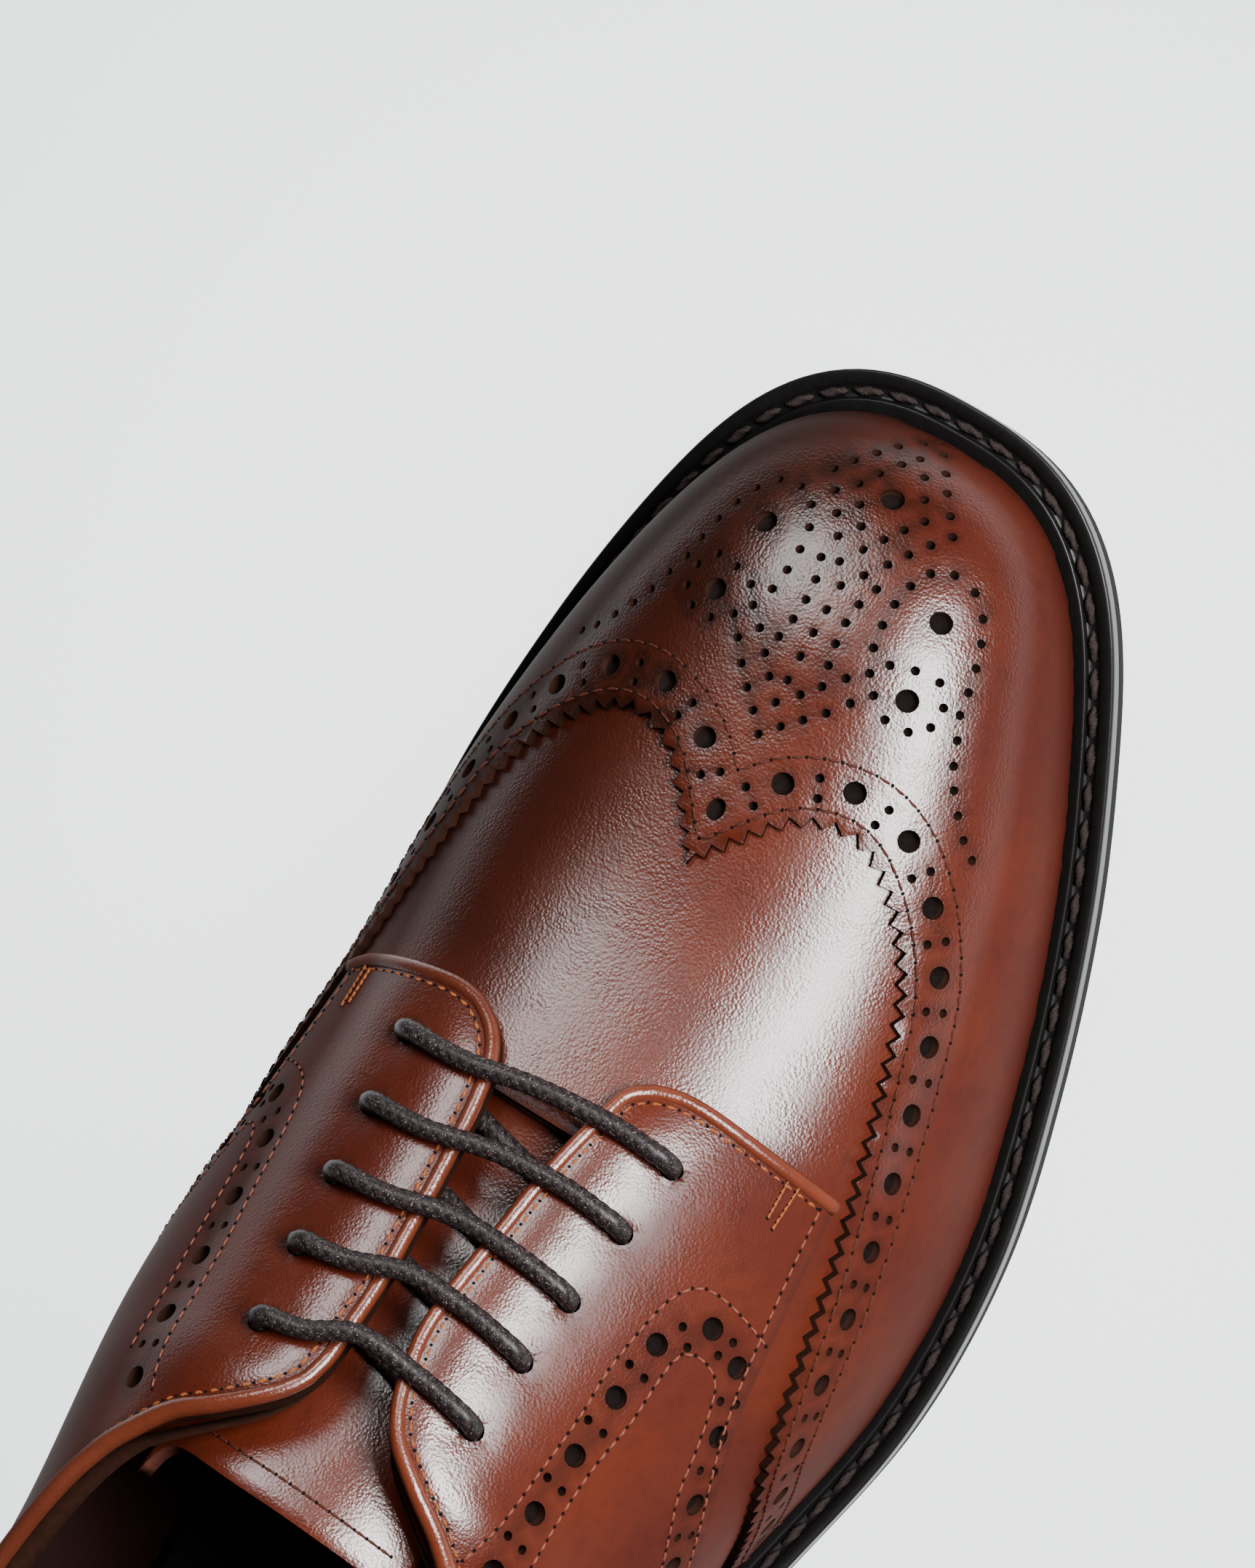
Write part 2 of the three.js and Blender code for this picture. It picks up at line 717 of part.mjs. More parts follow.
function wingCap() {
  const lift = clearance * 3;
  const armEnd = wingEdge.at(-1).at * length;
  const edge = (side) => {
    const line = smooth(wingEdge, side);
    const lobe = line.filter((p) => p.s > lobeEnd);
    const arm = line.slice(lobe.length - 1);
    arm[arm.length - 1] = onFoot(armEnd, side, 4 * lift);
    return join(evenly(lobe, capSteps.lobe), evenly(arm, capSteps.side));
  };
  const foot = (side) =>
    join(
      evenly(footLine(toeTurn, length, side, lift).reverse(), capSteps.lobe),
      evenly(footLine(armEnd, toeTurn, side, lift).reverse(), capSteps.side),
    );
  const shape = { inner: bedding, outer: bedding + overlay, down: capSteps.down, crowding: footCrowding };
  return panel(join(edge(-1).reverse(), edge(1)), join(foot(-1).reverse(), foot(1)), shape);
}

// The tongue is sewn under the vamp at its root, sinks to leave room for the lace, and rises out of
// the throat
const tongueSteps = { along: 10, across: 8 };
const tongueSewn = 0.03 * length; // from the root back
const tongueSinks = 0.05 * length; // from there back to its full drop

function tongue() {
  const line = (side) =>
    range(0, 1, tongueSteps.along).map((k) => {
      const s = tongueRoot + (tongueTip - tongueRoot) * k;
      return place(s, side * (tongueRootWidth + (tongueTopWidth - tongueRootWidth) * k));
    });
  const outer = -(wall + bedding);
  const sink = (s) => tongueDrop * between01((tongueRoot - tongueSewn - s) / tongueSinks);
  const shape = { inner: outer - tongueThickness, outer, down: tongueSteps.across, sink };
  return panel(line(-1), line(1), shape);
}

// Each bar of lace rises out of one eyelet, crosses the gap and goes down into the other. Here reach
// is a share of the eyelet's girth, and out a share of the height at which the bar lies on the skin.
const barHeight = bedding + overlay + clearance + laceDiameter / 2;
const barSteps = 12;
const barRise = rows(["reach", "out"], [
  [1, -0.16],
  [1, 0.5],
  [0.97, 0.85],
  [0.86, 1.08],
  [0.5, 1],
]);

function laceBar(row) {
  const s = row.at * length;
  const half = (side) =>
    barRise.map(({ reach, out }) =>
      skin(place(s, side * reach * row.girth * ballWidth), out * barHeight),
    );
  const route = [...half(-1), skin(place(s, 0), barHeight), ...half(1).reverse()];
  const extrudePath = new THREE.CatmullRomCurve3(route);
  const round = new THREE.Shape().absarc(0, 0, laceDiameter / 2, 0, 2 * Math.PI);
  const geometry = new THREE.ExtrudeGeometry(round, { steps: barSteps, extrudePath, curveSegments: 4 });
  geometry.deleteAttribute("normal");
  geometry.deleteAttribute("uv");
  return outward(mergeVertices(geometry, weld));
}

// Finishes
const finish = (color, roughness) => new THREE.MeshStandardMaterial({ color, roughness, metalness: 0 });
const leather = finish(0x6b2a1a, 0.38);
const lining = finish(0x5a3322, 0.7);
const blackEdge = finish(0x15120f, 0.45);
const rubber = finish(0x1c1b1a, 0.8);
const braid = finish(0x2b2421, 0.6);

const shoe = new THREE.Group();

function add(name, geometry, material) {
  const mesh = new THREE.Mesh(geometry, material);
  mesh.name = name;
  shoe.add(mesh);
  return mesh;
}

add("outsole", outsole(), rubber);
add("welt", welt(), blackEdge);
add("heel_stack", heelStack(), blackEdge);
add("top_piece", topPiece(), rubber);
add("insole", insole(), lining);
add("upper", upper(), leather);
add("tongue", tongue(), leather);
add("quarter_outer", quarter(-1), leather);
add("quarter_inner", quarter(1), leather);
add("wing_cap", wingCap(), leather);
eyelets.forEach((row, i) => add(`lace_bar_${i + 1}`, laceBar(row), braid));

// The origin is under the middle of the shoe's box, on the floor
const box = new THREE.Box3().setFromObject(shoe);
shoe.position.set(-(box.min.x + box.max.x) / 2, -(box.min.y + box.max.y) / 2, 0);

export default shoe;
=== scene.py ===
"""A brogued derby shoe for the right foot: panels, holes, stitches, lace, sole and finishes.

Lengths are millimetres in the last's own frame: x from the heel back to the toe, y to the inner side,
z up from the floor. A place on the leather is (s, girth): s is the station along the last, and girth
the way down from the crest, negative on the outer side. Meshes are turned into metres at the end.
"""
import math

import bpy
import numpy as np
from mathutils import Matrix, Vector, kdtree
from mathutils.geometry import delaunay_2d_cdt

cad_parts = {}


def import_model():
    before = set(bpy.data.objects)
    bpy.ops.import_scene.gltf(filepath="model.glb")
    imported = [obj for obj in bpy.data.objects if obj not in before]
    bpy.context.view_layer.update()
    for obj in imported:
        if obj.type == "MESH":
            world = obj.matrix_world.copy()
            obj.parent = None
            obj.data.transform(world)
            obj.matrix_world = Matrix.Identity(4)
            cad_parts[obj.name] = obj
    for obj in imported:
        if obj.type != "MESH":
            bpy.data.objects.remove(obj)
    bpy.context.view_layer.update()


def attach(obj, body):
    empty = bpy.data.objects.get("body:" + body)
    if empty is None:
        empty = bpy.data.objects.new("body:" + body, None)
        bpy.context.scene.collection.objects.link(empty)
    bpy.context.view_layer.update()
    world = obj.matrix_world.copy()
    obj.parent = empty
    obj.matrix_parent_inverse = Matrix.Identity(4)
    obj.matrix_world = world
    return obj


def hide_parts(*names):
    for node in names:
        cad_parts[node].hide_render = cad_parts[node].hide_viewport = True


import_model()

MM = 0.001
BODY = "root"

# Driving sizes, as in the shoe's construction
LENGTH = 296.0
BALL_WIDTH = 89.3
INSTEP_HEIGHT = 78.4
BACK_HEIGHT = 62.0
SIDE_HEIGHT = 56.0
HEEL_LIFT = 25.4
TOE_SPRING = 12.7
OUTSOLE = 4.8
WELT = 3.5
WELT_WIDTH = 7.0
SEAT_WIDTH = 4.4
TOE_EXTRA = 0.9
WALL = 2.0
OVERLAY = 1.3
BEDDING = 0.75
CLEARANCE = 0.3
FAN_AT = 0.12 * LENGTH
HEEL_POWER = 2.15
TOE_REACH = 0.486 * LENGTH
TOE_POWER = 2.76
CREST_REACH = 0.115 * LENGTH
CREST_POWER = 2.3
SPREAD_POWER = 0.8
DROP_POWER = 0.88
BELLY_PEAK = 2.6
EDGE = OUTSOLE + CLEARANCE + WELT
HEEL_BREAST = 0.262 * LENGTH
SEAT_END = 0.42 * LENGTH
FACE = BEDDING + OVERLAY  # outer face of the laid-on leather, above the last
VAMP_FACE = 0.6
SHIFT = np.array([-149.44987, 2.18639, 0.0])  # the shoe's box stands centred on the row's origin

SECTIONS = {
    "at": (0.12, 0.2, 0.3, 0.4, 0.5, 0.6, 0.68, 0.76, 0.84, 0.92, 1.0),
    "outer": (0.364, 0.37, 0.377, 0.405, 0.473, 0.529, 0.541, 0.515, 0.482, 0.451, 0.45),
    "inner": (0.364, 0.36, 0.338, 0.343, 0.411, 0.451, 0.459, 0.473, 0.47, 0.46, 0.466),
    "swing": (0.0, 0.0, 0.003, 0.01, 0.02, 0.01, 0.017, 0.026, 0.035, 0.048, 0.062),
    "lift": (1.0, 0.905, 0.7, 0.4, 0.15, 0.024, 0.0, 0.0, 0.0, 0.0, 0.0),
    "spring": (0.0, 0.0, 0.0, 0.0, 0.0, 0.0, 0.0, 0.063, 0.26, 0.59, 1.0),
    "crest": (1.41, 1.357, 1.245, 1.133, 1.0, 0.831, 0.695, 0.569, 0.468, 0.365, 0.265),
    "outer_belly": (0.012, 0.02, 0.034, 0.045, 0.05, 0.03, 0.022, 0.022, 0.022, 0.022, 0.022),
    "inner_belly": (0.014, 0.022, 0.04, 0.056, 0.05, 0.034, 0.022, 0.022, 0.022, 0.022, 0.022),
}
BACK_CURVE = {"up": (0, 0.25, 0.5, 0.8, 1), "out": (0, 0.07, 0.085, 0.02, -0.05)}
TOPLINE = {
    "at": (0, 0.04, 0.12, 0.22, 0.34, 0.44, 0.51),
    "outer": (1.0, 0.995, 0.937, 0.88, 0.86, 0.9, 0.925),
    "inner": (1.0, 0.995, 0.947, 0.92, 0.94, 0.985, 1.0),
    "back": (1, 0.8, 0.4, 0.1, 0, 0, 0),
}


def follow(at, values, x):
    """A smooth curve through a table's column, straight past its ends."""
    at = np.asarray(at, float)
    values = np.asarray(values, float)
    x = np.asarray(x, float)
    step = np.diff(at)
    slope = np.diff(values) / step
    tangent = np.concatenate([slope[:1], slope, slope[-1:]])[: len(at)].copy()
    tangent[-1] = slope[-1]
    tangent[1:-1] = (slope[:-1] * step[1:] + slope[1:] * step[:-1]) / (step[1:] + step[:-1])
    i = np.clip(np.searchsorted(at, x, side="right") - 1, 0, len(at) - 2)
    t = (x - at[i]) / step[i]
    inside = (1 + 2 * t) * (1 - t) ** 2 * values[i] + t * t * (3 - 2 * t) * values[i + 1]
    inside += (t * (1 - t) ** 2 * tangent[i] + t * t * (t - 1) * tangent[i + 1]) * step[i]
    before = values[0] + tangent[0] * (x - at[0])
    after = values[-1] + tangent[-1] * (x - at[-1])
    return np.where(t < 0, before, np.where(t > 1, after, inside))


def ease01(t):
    t = np.clip(t, 0, 1)
    return t * t * (3 - 2 * t)


def section(name, x):
    return follow(SECTIONS["at"], SECTIONS[name], np.maximum(x, FAN_AT) / LENGTH)


def closing(x, reach, power):
    u = np.clip((x - (LENGTH - reach)) / reach, 0, 1)
    return np.maximum(1 - u**power, 0) ** (1 / power)


def feather_height(x):
    lift = np.maximum(section("lift", x), 0)
    spring = np.maximum(section("spring", x), 0)
    return EDGE + HEEL_LIFT * lift + TOE_SPRING * spring


def last_point(s, turn):
    """Points of the last, from -1 on the outer feather line over 0 on the crest to 1 on the inner one."""
    s = np.asarray(s, float)
    turn = np.asarray(turn, float)
    x = np.maximum(s, FAN_AT)
    outer = turn < 0
    toe = closing(x, TOE_REACH, TOE_POWER)
    sin = np.sin(np.abs(turn) * math.pi / 2)
    cos = np.maximum(np.cos(np.abs(turn) * math.pi / 2), 0)
    width = np.where(outer, section("outer", x), section("inner", x)) * BALL_WIDTH * toe
    belly = np.where(outer, section("outer_belly", x), section("inner_belly", x)) * BALL_WIDTH * toe
    swing = section("swing", x) * BALL_WIDTH
    half = width * sin**SPREAD_POWER + belly * BELLY_PEAK * sin * sin * cos
    up = section("crest", x) * INSTEP_HEIGHT * closing(x, CREST_REACH, CREST_POWER) * cos**DROP_POWER
    side = np.where(outer, -1.0, 1.0)
    heel = np.minimum(up / BACK_HEIGHT, BACK_CURVE["up"][-1])
    reach = FAN_AT * (1 + follow(BACK_CURVE["up"], BACK_CURVE["out"], heel))
    angle = (math.pi / 2) * (1 + (FAN_AT - np.maximum(s, 0)) / FAN_AT)
    along = np.abs(np.cos(angle)) / reach
    across = np.abs(np.sin(angle)) / np.maximum(half, 1e-6)
    radius = (along**HEEL_POWER + across**HEEL_POWER) ** (-1 / HEEL_POWER)
    fan = s < FAN_AT
    px = np.where(fan, FAN_AT + radius * np.cos(angle), s)
    py = swing + side * np.where(fan, radius * np.sin(angle), half)
    return np.stack([px, py, feather_height(x) + up], -1)


NEAR_TIP = LENGTH - 0.02
TURNS = np.linspace(0, 1, 65)
ROW = 1e4  # keeps the girths of one station apart from the next in one sorted list


def stations():
    straight = np.linspace(0, LENGTH - CREST_REACH, 525)
    turning = LENGTH - CREST_REACH * (1 - np.linspace(0, 1, 161)[1:]) ** 2
    return np.unique(np.minimum(np.concatenate([straight, turning]), NEAR_TIP))


class Skin:
    """The last's surface by station and girth."""

    def __init__(self):
        self.s = stations()
        self.girth = {}
        for side in (-1, 1):
            points = last_point(self.s[:, None], side * TURNS[None, :])
            steps = np.linalg.norm(np.diff(points, axis=1), axis=2)
            self.girth[side] = np.concatenate([np.zeros((len(self.s), 1)), np.cumsum(steps, 1)], 1)
        crest = np.diff(last_point(self.s, 0 * self.s), axis=0)
        self.crest_run = np.concatenate([[0], np.cumsum(np.linalg.norm(crest, axis=1))])
        self.turning = LENGTH - CREST_REACH

    def _share(self, s):
        i = np.clip(np.searchsorted(self.s, s, side="right") - 1, 0, len(self.s) - 2)
        return i, np.clip((s - self.s[i]) / (self.s[i + 1] - self.s[i]), 0, 1)

    def foot(self, s, side):
        return np.interp(s, self.s, self.girth[side][:, -1])

    def _turn(self, table, row, girth):
        keys = (table + np.arange(len(table))[:, None] * ROW).ravel()
        wanted = np.minimum(girth, table[row, -1]) + row * ROW
        j = np.searchsorted(keys, wanted, side="right") - 1 - row * table.shape[1]
        j = np.clip(j, 0, table.shape[1] - 2)
        low = table[row, j]
        high = table[row, j + 1]
        t = np.clip((girth - low) / np.maximum(high - low, 1e-9), 0, 1)
        return TURNS[j] + t * (TURNS[j + 1] - TURNS[j])

    def turn(self, s, girth):
        s, girth = np.broadcast_arrays(np.asarray(s, float), np.asarray(girth, float))
        out = np.zeros(s.shape)
        i, f = self._share(s)
        for side in (-1, 1):
            here = (girth < 0) if side < 0 else (girth >= 0)
            if not here.any():
                continue
            g = np.abs(girth[here])
            a = self._turn(self.girth[side], i[here], g)
            b = self._turn(self.girth[side], i[here] + 1, g)
            out[here] = side * (a + (b - a) * f[here])
        return out

    def at_height(self, s, side, height):
        """The girth at which a station reaches this height."""
        rise = section("crest", s) * INSTEP_HEIGHT * closing(np.maximum(s, FAN_AT), CREST_REACH, CREST_POWER)
        share = np.clip((height - feather_height(s)) / rise, 0, 1)
        turn = np.arccos(share ** (1 / DROP_POWER)) / (math.pi / 2)
        i, f = self._share(s)
        table = self.girth[side]
        a = np.array([np.interp(t, TURNS, table[k]) for t, k in zip(turn, i)])
        b = np.array([np.interp(t, TURNS, table[k + 1]) for t, k in zip(turn, i)])
        return side * (a + (b - a) * f)

    def normal(self, s, turn):
        ahead = last_point(np.minimum(s + 0.3, NEAR_TIP), turn)
        along = ahead - last_point(np.maximum(s - 0.3, 0), turn)
        across = last_point(s, np.minimum(turn + 0.004, 1)) - last_point(s, np.maximum(turn - 0.004, -1))
        n = np.cross(along, across)
        return n / np.maximum(np.linalg.norm(n, axis=-1, keepdims=True), 1e-9)

    def at(self, places, out=0.0):
        """Points at places (n x 2), out millimetres off the last."""
        places = np.asarray(places, float)
        s = np.clip(places[..., 0], 0, NEAR_TIP)
        turn = self.turn(s, places[..., 1])
        return last_point(s, turn) + self.normal(s, turn) * np.asarray(out, float)[..., None]

    def normals(self, places):
        s = np.clip(places[..., 0], 0, NEAR_TIP)
        return self.normal(s, self.turn(s, places[..., 1]))

    def slopes(self, places):
        """How a point moves with s and with girth."""
        ds, dg = 0.15, 0.3
        low = np.maximum(places[:, 0] - ds, 0)
        high = np.minimum(places[:, 0] + ds, NEAR_TIP)
        a = self.at(np.stack([high, places[:, 1]], -1)) - self.at(np.stack([low, places[:, 1]], -1))
        b = self.at(places + [0, dg]) - self.at(places - [0, dg])
        return a / np.maximum(high - low, 1e-6)[:, None], b / (2 * dg)

    def shift(self, places, directions, distance):
        """Places moved across the leather by distance, along directions given in (s, girth)."""
        ts, tg = self.slopes(places)
        w = directions[:, :1] * ts + directions[:, 1:] * tg
        scale = np.asarray(distance, float) / np.maximum(np.linalg.norm(w, axis=1), 1e-6)
        return places + directions * scale[:, None]

    def unroll(self, places):
        """Places as a flat pattern: past the toe's turn, s becomes the way along the crest."""
        base = np.interp(self.turning, self.s, self.crest_run)
        extra = np.interp(places[:, 0], self.s, self.crest_run) - base
        s = np.where(places[:, 0] > self.turning, self.turning + extra, places[:, 0])
        return np.stack([s, places[:, 1]], -1)

    def roll(self, flat):
        base = np.interp(self.turning, self.s, self.crest_run)
        s = np.interp(flat[:, 0] - self.turning + base, self.crest_run, self.s)
        return np.stack([np.where(flat[:, 0] > self.turning, s, flat[:, 0]), flat[:, 1]], -1)


skin = Skin()


# Lines of places

def curve(points, per=12):
    """A smooth line through given places or points."""
    p = np.asarray(points, float)
    p = np.vstack([2 * p[0] - p[1], p, 2 * p[-1] - p[-2]])
    t = np.linspace(0, 1, per, endpoint=False)[:, None]
    parts = []
    for i in range(1, len(p) - 2):
        a, b, c, d = p[i - 1 : i + 3]
        cubic = (2 * a - 5 * b + 4 * c - d) * t**2 + (3 * b - a - 3 * c + d) * t**3
        parts.append(0.5 * (2 * b + (c - a) * t + cubic))
    return np.vstack([*parts, p[-2:-1]])


def travelled(points):
    """The way run along a line of points, at each of them."""
    return np.concatenate([[0], np.cumsum(np.linalg.norm(np.diff(points, axis=0), axis=1))])


def picked(line, run, at):
    """The places or points of a line at these runs."""
    return np.stack([np.interp(at, run, column) for column in np.transpose(line)], -1)


def lengths(line):
    return travelled(skin.at(line))


def spaced(line, step=None, count=None):
    """The same line in even steps along the leather."""
    run = lengths(line)
    if count is None:
        count = max(int(round(run[-1] / step)), 1)
    return picked(line, run, np.linspace(0, run[-1], count + 1))


def beside(line, distance):
    """The line moved square to itself across the leather, to its left in (s, girth)."""
    ahead = np.vstack([line[1:], 2 * line[-1:] - line[-2:-1]])
    d = ahead - np.vstack([2 * line[:1] - line[1:2], line[:-1]])
    ts, tg = skin.slopes(line)
    along = d[:, :1] * ts + d[:, 1:] * tg
    p = np.stack([-d[:, 1], d[:, 0]], -1)
    across = p[:, :1] * ts + p[:, 1:] * tg
    share = (across * along).sum(1) / np.maximum((along * along).sum(1), 1e-9)
    direction = p - share[:, None] * d
    return skin.shift(line, direction, distance)


def mirrored(line):
    return np.asarray(line, float) * [1, -1]


def foot_line(start, end, side, lift, steps=40):
    """Along the feather line; stations crowd at the toe, where the outline turns across."""
    toe = LENGTH - TOE_REACH

    def angle(s):
        return np.arcsin(np.clip((s - toe) / TOE_REACH, 0, 1) ** (TOE_POWER / 2))

    parts = []
    if start < toe:
        parts.append(np.linspace(start, min(end, toe), steps))
    if end > toe:
        k = np.linspace(angle(max(start, toe)), angle(end), steps)
        parts.append(toe + TOE_REACH * np.sin(k) ** (2 / TOE_POWER))
    s = np.minimum(np.unique(np.concatenate(parts)), NEAR_TIP)
    return np.stack([s, side * np.maximum(skin.foot(s, side) - lift, 0)], -1)


def join(*lines):
    return np.vstack([lines[0], *[line[1:] for line in lines[1:]]])


# Meshes

def tree_of(points):
    tree = kdtree.KDTree(len(points))
    for i, p in enumerate(points):
        tree.insert((p[0], p[1], 0.0), i)
    tree.balance()
    return tree


def nearest(tree, points):
    found = [tree.find((p[0], p[1], 0.0)) for p in points]
    return np.array([f[1] for f in found]), np.array([f[2] for f in found])


def inside(points, polygon):
    x, y = points[:, 0], points[:, 1]
    hit = np.zeros(len(points), bool)
    for (ax, ay), (bx, by) in zip(polygon, np.roll(polygon, -1, 0)):
        if ay == by:
            continue
        crossed = (ay > y) != (by > y)
        hit ^= crossed & (x < (bx - ax) * (y - ay) / (by - ay) + ax)
    return hit


class Mesh:
    """Points in millimetres with faces, a finish for each face and values for each point."""

    def __init__(self):
        self.points = np.zeros((0, 3))
        self.faces = []
        self.finish = []
        self.sharp = []
        self.values = {}

    def face(self, faces, finish, base=0):
        """Adds faces whose points count from base."""
        rows = faces.tolist() if isinstance(faces, np.ndarray) else faces
        self.faces += [tuple(base + i for i in row) for row in rows]
        self.finish += [finish] * len(rows)

    def add(self, points, faces, finish=0, **values):
        base = len(self.points)
        self.points = np.vstack([self.points, points])
        self.face(faces, finish, base)
        for name in set(self.values) | set(values):
            old = self.values.get(name, np.zeros(base))
            new = np.broadcast_to(values.get(name, 0.0), (len(points),))
            self.values[name] = np.concatenate([old, new])
        return base

    def add_tube(self, path, radius, ups, sides, values, flat=1.0):
        """A round cord along points, closed at both ends, with values for each of its points."""
        points, faces, ends = tube(path, radius, ups, sides, flat)
        base = self.add(points, faces, 0, **values)
        for end in ends:
            self.face(end, 0, base)

    def build(self, name, finishes, slot, replaces=()):
        mesh = bpy.data.meshes.new(name)
        mesh.from_pydata(((self.points + SHIFT) * MM).tolist(), [], self.faces)
        mesh.polygons.foreach_set("material_index", self.finish)
        mesh.polygons.foreach_set("use_smooth", [True] * len(self.faces))
        for key, values in self.values.items():
            mesh.attributes.new(key, "FLOAT", "POINT").data.foreach_set("value", values.astype(np.float32))
        if self.sharp:
            ends = np.zeros(len(mesh.edges) * 2, int)
            mesh.edges.foreach_get("vertices", ends)
            keys = np.sort(ends.reshape(-1, 2), 1) @ [len(self.points), 1]
            wanted = np.sort(np.array(self.sharp), 1) @ [len(self.points), 1]
            hard = mesh.attributes.new("sharp_edge", "BOOLEAN", "EDGE")
            hard.data.foreach_set("value", np.isin(keys, wanted))
        mesh.update()
        thing = bpy.data.objects.new(name, mesh)
        bpy.context.scene.collection.objects.link(thing)
        for finish in finishes:
            mesh.materials.append(finish)
        return settle(thing, replaces)


def settle(thing, replaces=()):
    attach(thing, BODY)
    if replaces:
        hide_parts(*replaces)
    return thing


class Holes:
    """Round holes in the leather, each with a flat frame of its own, so that it is round in space."""

    def __init__(self, places, radii, through=0):
        """The last ones, as many as through says, go right through; the others have a floor."""
        self.places = np.asarray(places, float).reshape(-1, 2)
        self.radii = np.asarray(radii, float)
        self.through = np.arange(len(self.radii)) >= len(self.radii) - through
        self.flat = skin.unroll(self.places)
        h = 0.3

        def point(move):
            return skin.at(skin.roll(self.flat + move))

        a = (point([h, 0]) - point([-h, 0])) / (2 * h)
        b = (point([0, h]) - point([0, -h])) / (2 * h)
        size = np.linalg.norm(a, axis=1)
        e1 = a / size[:, None]
        lean = (b * e1).sum(1)
        rest = np.linalg.norm(b - lean[:, None] * e1, axis=1)
        self.frame = np.zeros((len(self.places), 2, 2))
        self.frame[:, 0, 0] = size
        self.frame[:, 0, 1] = lean
        self.frame[:, 1, 1] = rest
        self.back = np.linalg.inv(self.frame) if len(self.places) else self.frame

    def rounds(self, sides):
        t = np.arange(sides) * 2 * math.pi / sides
        ring = np.stack([np.cos(t), np.sin(t)])
        return [self.flat[i] + (self.back[i] @ ring).T * self.radii[i] for i in range(len(self.radii))]

    def nearest(self, flat):
        """From each flat point to the rim of the nearest hole, and which hole that is."""
        best = np.full(len(flat), 1e3)
        which = np.full(len(flat), -1)
        for i in range(len(self.radii)):
            near = np.where(np.abs(flat - self.flat[i]).max(1) < self.radii[i] + 6)[0]
            d = (self.frame[i] @ (flat[near] - self.flat[i]).T).T
            gap = np.hypot(d[:, 0], d[:, 1]) - self.radii[i]
            closer = near[gap < best[near]]
            best[closer] = gap[gap < best[near]]
            which[closer] = i
        return best, which


HOLE_SIDES = 16
HOLE_DIP = 0.06  # how far a hole's rim is pressed in
EDGE_DIP = 0.25  # how far a cut edge rounds off

DARK_BAND = 9.0  # height of the darker leather above the sole
TOE_DARK = (240.0, 56.0)  # where the toe starts to darken, and over how long
QUARTER_FRONT = 211.0
LEVEL, LEVEL_INNER, LEVEL_FALL = 0.66, 0.2, 0.24  # how level the leather has to lie to shine


def burnish_and_side_shade(places):
    """The leather's finish by place: near the sole, at the toe, painted shade by side, and its gloss, dull on
    the walls.
    """
    s = np.clip(places[:, 0], 0, NEAR_TIP)
    outer = places[:, 1] < 0
    foot = np.where(outer, skin.foot(s, -1), skin.foot(s, 1)) - np.abs(places[:, 1])
    turn = skin.normals(places)
    steep = ease01((LEVEL + LEVEL_INNER * np.clip(4 * turn[:, 1], 0, 1) - turn[:, 2]) / LEVEL_FALL)
    past = -places[:, 1] + np.interp(s, *np.transpose(EDGES[-1][::-1]))
    quarter = ease01((past - 7) / 9) * ease01((QUARTER_FRONT - s) / 5) * outer
    return {
        "low": np.exp(-(np.maximum(foot, 0) / DARK_BAND) ** 1.4),
        "toe": ease01((s - TOE_DARK[0]) / TOE_DARK[1]),
        # inner and front carry painted shade: the inner side is painted darker, more so towards the front.
        "inner": np.tanh(places[:, 1] / 25),
        "front": 0.45 + 0.55 * np.clip((s - QUARTER_FRONT + 11) / 12, 0, 1),
        "gloss": (1 - 0.97 * steep) * (1 - 0.88 * quarter),
    }


